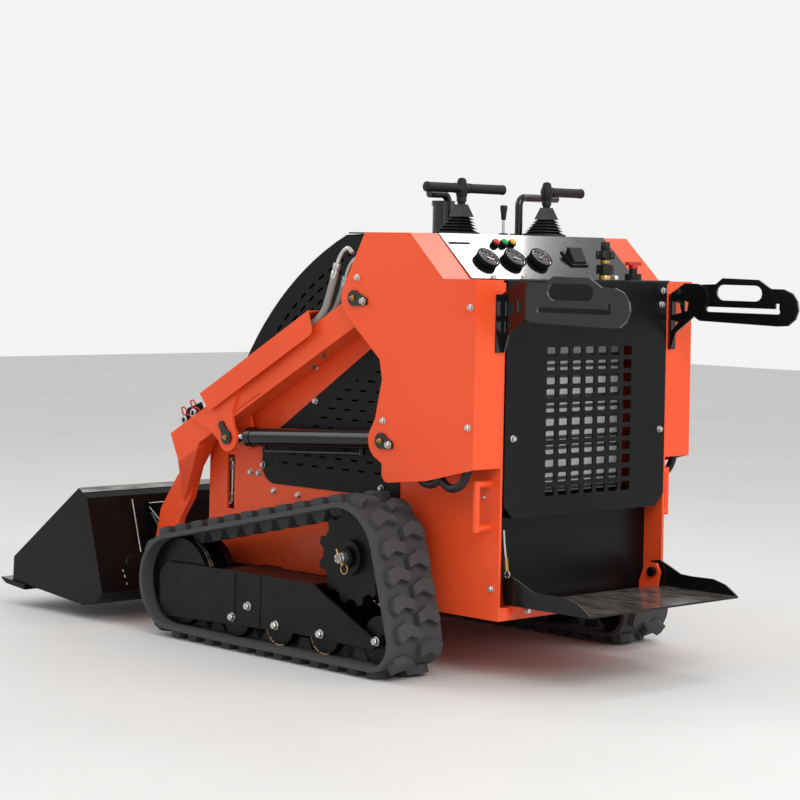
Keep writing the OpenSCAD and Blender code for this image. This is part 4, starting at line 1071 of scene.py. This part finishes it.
@dataclass
class Hydraulics:
    """Hoses of the arms, the loops under the towers, coupler caps and grease nipples."""

    hose_y: float = 388.0
    pipe_r: float = 5.6
    hose_r: float = 9.2
    loop_r: float = 10.5
    pipe: Stations = ((462, 1030), (478, 1042), (494, 1036))
    bend: Stations = ((494, 1036), (508, 1020), (517, 1002))
    hose: Stations = ((530, 966), (546, 922), (562, 884), (588, 858), (640, 828))
    inner_pipe: Stations = ((448, 1004), (454, 1014), (462, 1018))
    inner_bend: Stations = ((462, 1018), (480, 1008), (494, 990), (503, 968))
    inner_hose: Stations = ((510, 948), (528, 905), (545, 880), (575, 858), (630, 828))
    inner_y: float = 370.0
    joint_end: Station = (600.0, 850.0)
    loops: tuple[tuple[Point, ...], ...] = (
        ((222, 392, 540), (206, 394, 488), (168, 395, 466), (134, 394, 476), (118, 390, 520)),
        ((142, 388, 540), (126, 391, 486), (94, 392, 462), (58, 391, 470), (36, 388, 506),
         (32, 384, 545)))
    couplers: Stations = ((1127.0, 579.0), (1165.5, 557.5))
    coupler_y: float = 278.0
    cap: Stations = ((0, -1.5), (13.4, -1.5), (14.2, 0), (14.2, 13), (12.6, 14))
    cap_seat: Stations = ((6.5, 78), (12.4, 79), (12.4, 83), (10.8, 84.5), (6.5, 84.5))
    strap_y: float = 70.0
    strap_r: float = 14.6
    strap_bead: float = 2.2
    tongue: tuple[Point, ...] = ((10, 70, 12), (4, 71, 24), (12, 72, 34), (24, 72, 32),
                                 (22, 71, 22), (14, 70, 8))
    nipples: tuple[Point, ...] = ((428, 415, 916), (318, 415, 562))
    arm_nipples: tuple[Point, ...] = ((928, 408, 528),)
    nipple: Stations = ((6.5, -1), (6.5, 3), (3.2, 4), (2.8, 8), (3.6, 10), (0, 12))

    def build(self) -> None:
        """Makes the piping of both sides."""
        pipes = Forge("arm_hose_pipes", [ZINC], "chassis", "pin_steel")
        loops = Forge("tower_hoses", [HOSE], "chassis", "black_paint")
        nipples = Forge("tower_grease_nipples", [BRASS], "chassis", "pin_steel")
        arm_nipples = Forge("arm_grease_nipples", [BRASS], "arms", "pin_steel")
        for side in Side:
            s = side.value
            for pipe, bend, hose, y in (
                    (self.pipe, self.bend, self.hose, self.hose_y),
                    (self.inner_pipe, self.inner_bend, self.inner_hose, self.inner_y)):
                run = [LAYOUT.at(x, s * y, z) for x, z in pipe]
                pipes.tube(curve_through(run), self.pipe_r, 16)
                self.arm_hose(side, y, bend, hose)
            for loop in self.loops:
                spots = [LAYOUT.at(x, s * y, z) for x, y, z in loop]
                loops.tube(curve_through(spots), self.loop_r, 16)
            for forge, spots in ((nipples, self.nipples), (arm_nipples, self.arm_nipples)):
                for x, y, z in spots:
                    forge.turned(LAYOUT.at(x, s * y, z), side.out(), self.nipple, 16)
        for forge in (pipes, loops, nipples, arm_nipples):
            forge.finish(45.0)
        self.dust_caps()

    @staticmethod
    def fitting(forge: Forge, start: Vector, end: Vector) -> None:
        """Adds the hexagon nut and the crimped ferrule between a pipe and its hose."""
        way = end - start
        length = way.length / MM
        forge.turned(start, way, [(9, 0), (11, 2), (11, length * 0.42), (9, length * 0.48)], 6, 1)
        forge.turned(start, way, [(8.2, length * 0.48), (10.2, length * 0.54),
                                  (10.2, length * 0.98), (9.2, length + 2)], 20, 1)

    def arm_hose(self, side: Side, y: float, bend: Stations, stations: Stations) -> None:
        """Makes one pipe end, its fitting and the grey hose between the tower and the arm.

        Args:
            side: Side of the machine.
            y: Distance from the centre line.
            bend: Points along the end of the pipe.
            stations: Points along the hose.
        """
        name = f"arm_hose_{side.name.lower()}_{round(y)}"
        forge = Forge(name, [GREY_HOSE, ZINC], "", "black_paint")
        elbow = [LAYOUT.at(x, side.value * y, z) for x, z in bend]
        run = [LAYOUT.at(x, side.value * y, z) for x, z in stations]
        forge.tube(curve_through(elbow), self.pipe_r, 16, 1)
        self.fitting(forge, elbow[-1], run[0])
        forge.tube(curve_through(run), self.hose_r, 18)
        piece = forge.finish(60.0)
        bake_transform(piece)

    def dust_caps(self) -> None:
        """Makes the red caps with their straps on the auxiliary couplers."""
        forge = Forge("coupler_caps", [RED_CAP, ZINC], "arms", "control_plastic")
        across = Axis.LEFT.way()
        for x, z in self.couplers:
            foot = LAYOUT.at(x, self.coupler_y, z)
            forge.turned(foot, across, self.cap, 28, 0)
            forge.turned(foot, across, self.cap_seat, 28, 1, True)
            strap = arc_path(foot + across * self.strap_y * MM, self.strap_r, 22)
            tongue = curve_through([foot + Vector(p) * MM for p in self.tongue])
            for path in (strap, tongue):
                forge.tube(path, self.strap_bead, 8, 0)
        forge.finish(40.0)


@dataclass
class Weldments:
    """Weld beads of the arms and the bucket, the trim behind it, and painted highlights along its
    lip, edge and gusset.
    """

    bead_r: float = 2.6
    bead_pitch: float = 5.0
    ear_lines: tuple[tuple[Point, Point], ...] = (
        ((806, 395.5, 655), (1008, 395.5, 545)),
        ((1128, 338.5, 478), (1186, 338.5, 446)))
    bucket_lines: tuple[tuple[Point, Point], ...] = (((1410, 510.5, 38), (1640, 510.5, 60)),)
    back: tuple[Station, Station] = ((1317.0, 73.0), (1396.0, 330.0))
    gusset: Stations = ((1388.0, 304.0), (1290.0, 318.0), (1308.0, 251.0))
    gusset_y: float = 305.0
    gusset_t: float = 7.0
    rib: Stations = ((102, -0.5), (258, -0.5), (258, 5), (108, 5))
    rib_y: float = 345.0
    rib_t: float = 16.0
    boss_at: Station = (77.0, 403.0)
    boss: Stations = ((21, -0.5), (21, 3.5), (19.5, 5), (10, 5), (9, 2.5), (0, 2.5))
    spots: tuple[tuple[float, float, float, float], ...] = (
        (104, 256, 362, 1.2), (52, 60, 434, 0.8), (36, 44, 431, 0.8), (16, 22, 428, 0.8))
    # Painted highlights along the bucket's lip and edge: half width, first point, last point,
    # thickness.
    highlight_strips: tuple[tuple[float, Station, Station, float], ...] = (
        (516.0, (1417.0, 343.3), (1436.0, 355.0), 0.6),
        (524.0, (1748.0, 62.4), (1792.0, 66.6), 0.5))

    def build(self) -> None:
        """Makes the beads, the painted highlights on the edges and the trim behind the bucket."""
        arms = Forge("arm_welds", [ORANGE], "arms", "orange_paint")
        tool = Forge("bucket_welds", [WELD_AND_HIGHLIGHT], "tool", "black_paint")
        for side in Side:
            for forge, lines in ((arms, self.ear_lines), (tool, self.bucket_lines)):
                for first, last in lines:
                    mirror = Vector((1, side.value, 1))
                    self.bead(forge, LAYOUT.at(*first) * mirror, LAYOUT.at(*last) * mirror)
        arms.finish(60.0)
        tool.finish(60.0)
        self.painted_highlight_edges()
        self.bucket_rear()

    def bead(self, forge: Forge, start: Vector, end: Vector) -> None:
        """Adds one rippled bead.

        Args:
            forge: Piece that takes it.
            start: Its first point in metres.
            end: Its last point in metres.
        """
        count = max(3, int((end - start).length / (self.bead_pitch * MM)))
        path = [start.lerp(end, k / (2 * count)) for k in range(2 * count + 1)]
        radii = [self.bead_r * (1.0 if k % 2 else 0.8) for k in range(2 * count + 1)]
        forge.loft(path, radii, 8)

    def on_back(self, along: float, y: float, lift: float) -> Vector:
        """Returns a point on the bucket's back plate.

        Args:
            along: Distance up the plate from its foot in millimetres.
            y: Distance from the centre line.
            lift: Height above the plate.

        Returns:
            The point in metres.
        """
        low, high = self.back
        run, rise = high[0] - low[0], high[1] - low[1]
        long = math.hypot(run, rise)
        return LAYOUT.at(low[0] + (along * run - lift * rise) / long, y,
                         low[1] + (along * rise + lift * run) / long)

    def bucket_rear(self) -> None:
        """Makes the rib, the boss, the gusset with painted highlights along two of its edges, and the
        weld spots behind the bucket.
        """
        forge = Forge("bucket_rear_trim", [BLACK, WELD_AND_HIGHLIGHT], "tool", "black_paint")
        rear = self.on_back(0, 0, 1) - self.on_back(0, 0, 0)
        for side in Side:
            s = side.value
            rib = [self.on_back(along, s * self.rib_y, lift) for along, lift in self.rib]
            forge.slab(rib, side.out() * self.rib_t * MM, 0)
            along, y = self.boss_at
            forge.turned(self.on_back(along, s * y, 0), rear, self.boss, 36, 0)
            for low, high, y, lift in self.spots:
                self.strip(forge, self.on_back(low, s * y, lift), self.on_back(high, s * y, lift))
            corners = [LAYOUT.at(x, s * self.gusset_y, z) for x, z in self.gusset]
            forge.slab(corners, side.out() * self.gusset_t * MM, 0)
            # Bright strips along the gusset's outer edges: painted highlights where light catches
            # them.
            lift = side.out() * (self.gusset_t + 0.4) * MM
            for corner in corners[1:]:
                self.strip(forge, corners[0] + lift, corner + lift)
        forge.finish(50.0)

    def strip(self, forge: Forge, start: Vector, end: Vector) -> None:
        """Adds a slim bright bead between two points, for a weld spot and for a painted highlight
        along an edge.
        """
        forge.tube([start, start.lerp(end, 0.5), end], self.bead_r * 0.6, 8, 1)

    def painted_highlight_edges(self) -> None:
        """Makes the bright strips along the bucket's lip and edge: painted highlights where light
        catches them.
        """
        forge = Forge("painted_highlight_edges", [HIGHLIGHT_STEEL], "tool", "black_paint")
        for reach, (x0, z0), (x1, z1), lift in self.highlight_strips:
            along = LAYOUT.at(x1, 0, z1) - LAYOUT.at(x0, 0, z0)
            normal = Vector((-along.z, 0, along.x)).normalized() * lift * MM
            forge.slab([LAYOUT.at(x0, -reach, z0), LAYOUT.at(x1, -reach, z1),
                        LAYOUT.at(x1, reach, z1), LAYOUT.at(x0, reach, z0)], normal)
        forge.finish(30.0)


@dataclass
class HoodSlots:
    """Rows of cooling slots that are cut through the hood's sides."""

    centre: Station = (226.0, 270.6)
    rows: tuple[Point, ...] = ((827.0, 30.0, 66.0), (801.0, 31.5, 62.0), (775.0, 30.0, 57.0))
    step: float = 3.0
    slot_l: float = 24.0
    slot_h: float = 7.0
    reach_y: float = 310.0

    def build(self, hood: Object) -> None:
        """Cuts the slots by a modifier.

        Args:
            hood: The frame's hood.
        """
        forge = Forge("hood_slot_cutter", [BLACK], "chassis", "black_paint")
        for radius, first, last in self.rows:
            for k in range(int((last - first) / self.step) + 1):
                self.slot(forge, radius, math.radians(first + k * self.step))
        cutter = forge.place()
        cutter.hide_render = True
        cutter.hide_viewport = True
        modifier = hood.modifiers.new("side_slots", "BOOLEAN")
        modifier.object = cutter
        modifier.operation = "DIFFERENCE"
        modifier.solver = "EXACT"

    def slot(self, forge: Forge, radius: float, angle: float) -> None:
        """Adds one slot's block across the whole hood.

        Args:
            forge: Cutter that takes it.
            radius: Distance from the centre of the hood's curve.
            angle: Its direction from that centre.
        """
        outwards = (math.cos(angle), math.sin(angle))
        along = (-outwards[1], outwards[0])
        mid = (self.centre[0] + radius * outwards[0], self.centre[1] + radius * outwards[1])
        corners = []
        for a, b in ((-1, -1), (1, -1), (1, 1), (-1, 1)):
            x = mid[0] + along[0] * a * self.slot_l / 2 + outwards[0] * b * self.slot_h / 2
            z = mid[1] + along[1] * a * self.slot_l / 2 + outwards[1] * b * self.slot_h / 2
            corners.append(LAYOUT.at(x, -self.reach_y, z))
        forge.slab(corners, Axis.LEFT.way() * 2 * self.reach_y * MM)


@dataclass
class RearTrim:
    """Latch of the standing platform, tie rods, and the small screws of the lash handles."""

    rod: tuple[Point, ...] = ((-2, 298, 362), (-3, 295, 325), (-5, 291, 288))
    clip: tuple[Point, ...] = ((-5, 291, 294), (-6, 290, 276), (-7, 289, 262))
    clip_ring: Point = (-8.0, 289.0, 254.0)
    clip_ring_r: float = 8.0
    rod_wire: float = 2.6
    clip_wire: float = 4.6
    ring_wire: float = 1.6
    screws: Stations = ((51, 438), (30, 215))
    screw_head: float = 7.0
    slot_rod: Point = (1031.0, 338.0, 456.0)
    slot_rod_r: float = 5.5
    rod_nut: Stations = ((9.5, 0), (10, 1), (10, 11), (9.5, 12))
    nut_gaps: Station = (14.0, 26.0)
    lug_half: float = 9.0
    lug_h: float = 8.0
    rod_y: float = 293.0
    plate_in_y: float = 304.0

    def build(self) -> None:
        """Makes the platform's latch, the screws beside the handles and the tie rods."""
        forge = Forge("platform_latch", [ZINC, BRASS], "chassis", "pin_steel")
        forge.tube(curve_through([LAYOUT.at(*p) for p in self.rod]), self.rod_wire, 12, 0)
        forge.tube(curve_through([LAYOUT.at(*p) for p in self.clip]), self.clip_wire, 12, 1)
        ring = arc_path(LAYOUT.at(*self.clip_ring), self.clip_ring_r, 20)
        forge.tube(ring, self.ring_wire, 8, 0)
        for side in Side:
            for x, z in self.screws:
                forge.hex_bolt(LAYOUT.at(x, side.value * LAYOUT.side_plate_y, z), side.out(),
                               self.screw_head, 0, False)
            self.tie_rod(forge, side.value)
        forge.finish(45.0)

    def tie_rod(self, forge: Forge, s: int) -> None:
        """Adds the bright rod with its nuts and lugs behind one side plate's slot.

        Args:
            forge: Piece that takes them.
            s: Sign of the side.
        """
        x, low, high = self.slot_rod
        foot = LAYOUT.at(x, s * self.rod_y, low)
        up = Axis.UP.way()
        forge.turned(foot, up, [(self.slot_rod_r, 0), (self.slot_rod_r, high - low)], 20)
        for height in (self.nut_gaps[0], high - low - self.nut_gaps[1]):
            forge.turned(foot + up * height * MM, up, self.rod_nut, 6)
        near, far = sorted((s * (self.rod_y - 10), s * (self.plate_in_y + 1)))
        for z in (low - self.lug_h / 2, high - self.lug_h / 2):
            forge.block(LAYOUT.at(x - self.lug_half, near, z),
                        LAYOUT.at(x + self.lug_half, far, z + self.lug_h))


def main() -> None:
    """Builds the studio and every sub-assembly in order."""
    logging.basicConfig(level=logging.INFO, format="%(name)s %(message)s")
    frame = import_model()
    Studio().build()
    LOG.info("part Studio")
    Dressing().build(frame["nodes"])
    LOG.info("part Dressing")
    HoodSlots().build(frame["nodes"]["hood"])
    LOG.info("part HoodSlots")
    for part in (Fasteners(), Instruments(), Levers(), Undercarriage(), Hydraulics(),
                 Weldments(), RearTrim()):
        part.build()
        LOG.info("part %s", type(part).__name__)


if __name__ == "__main__":
    main()
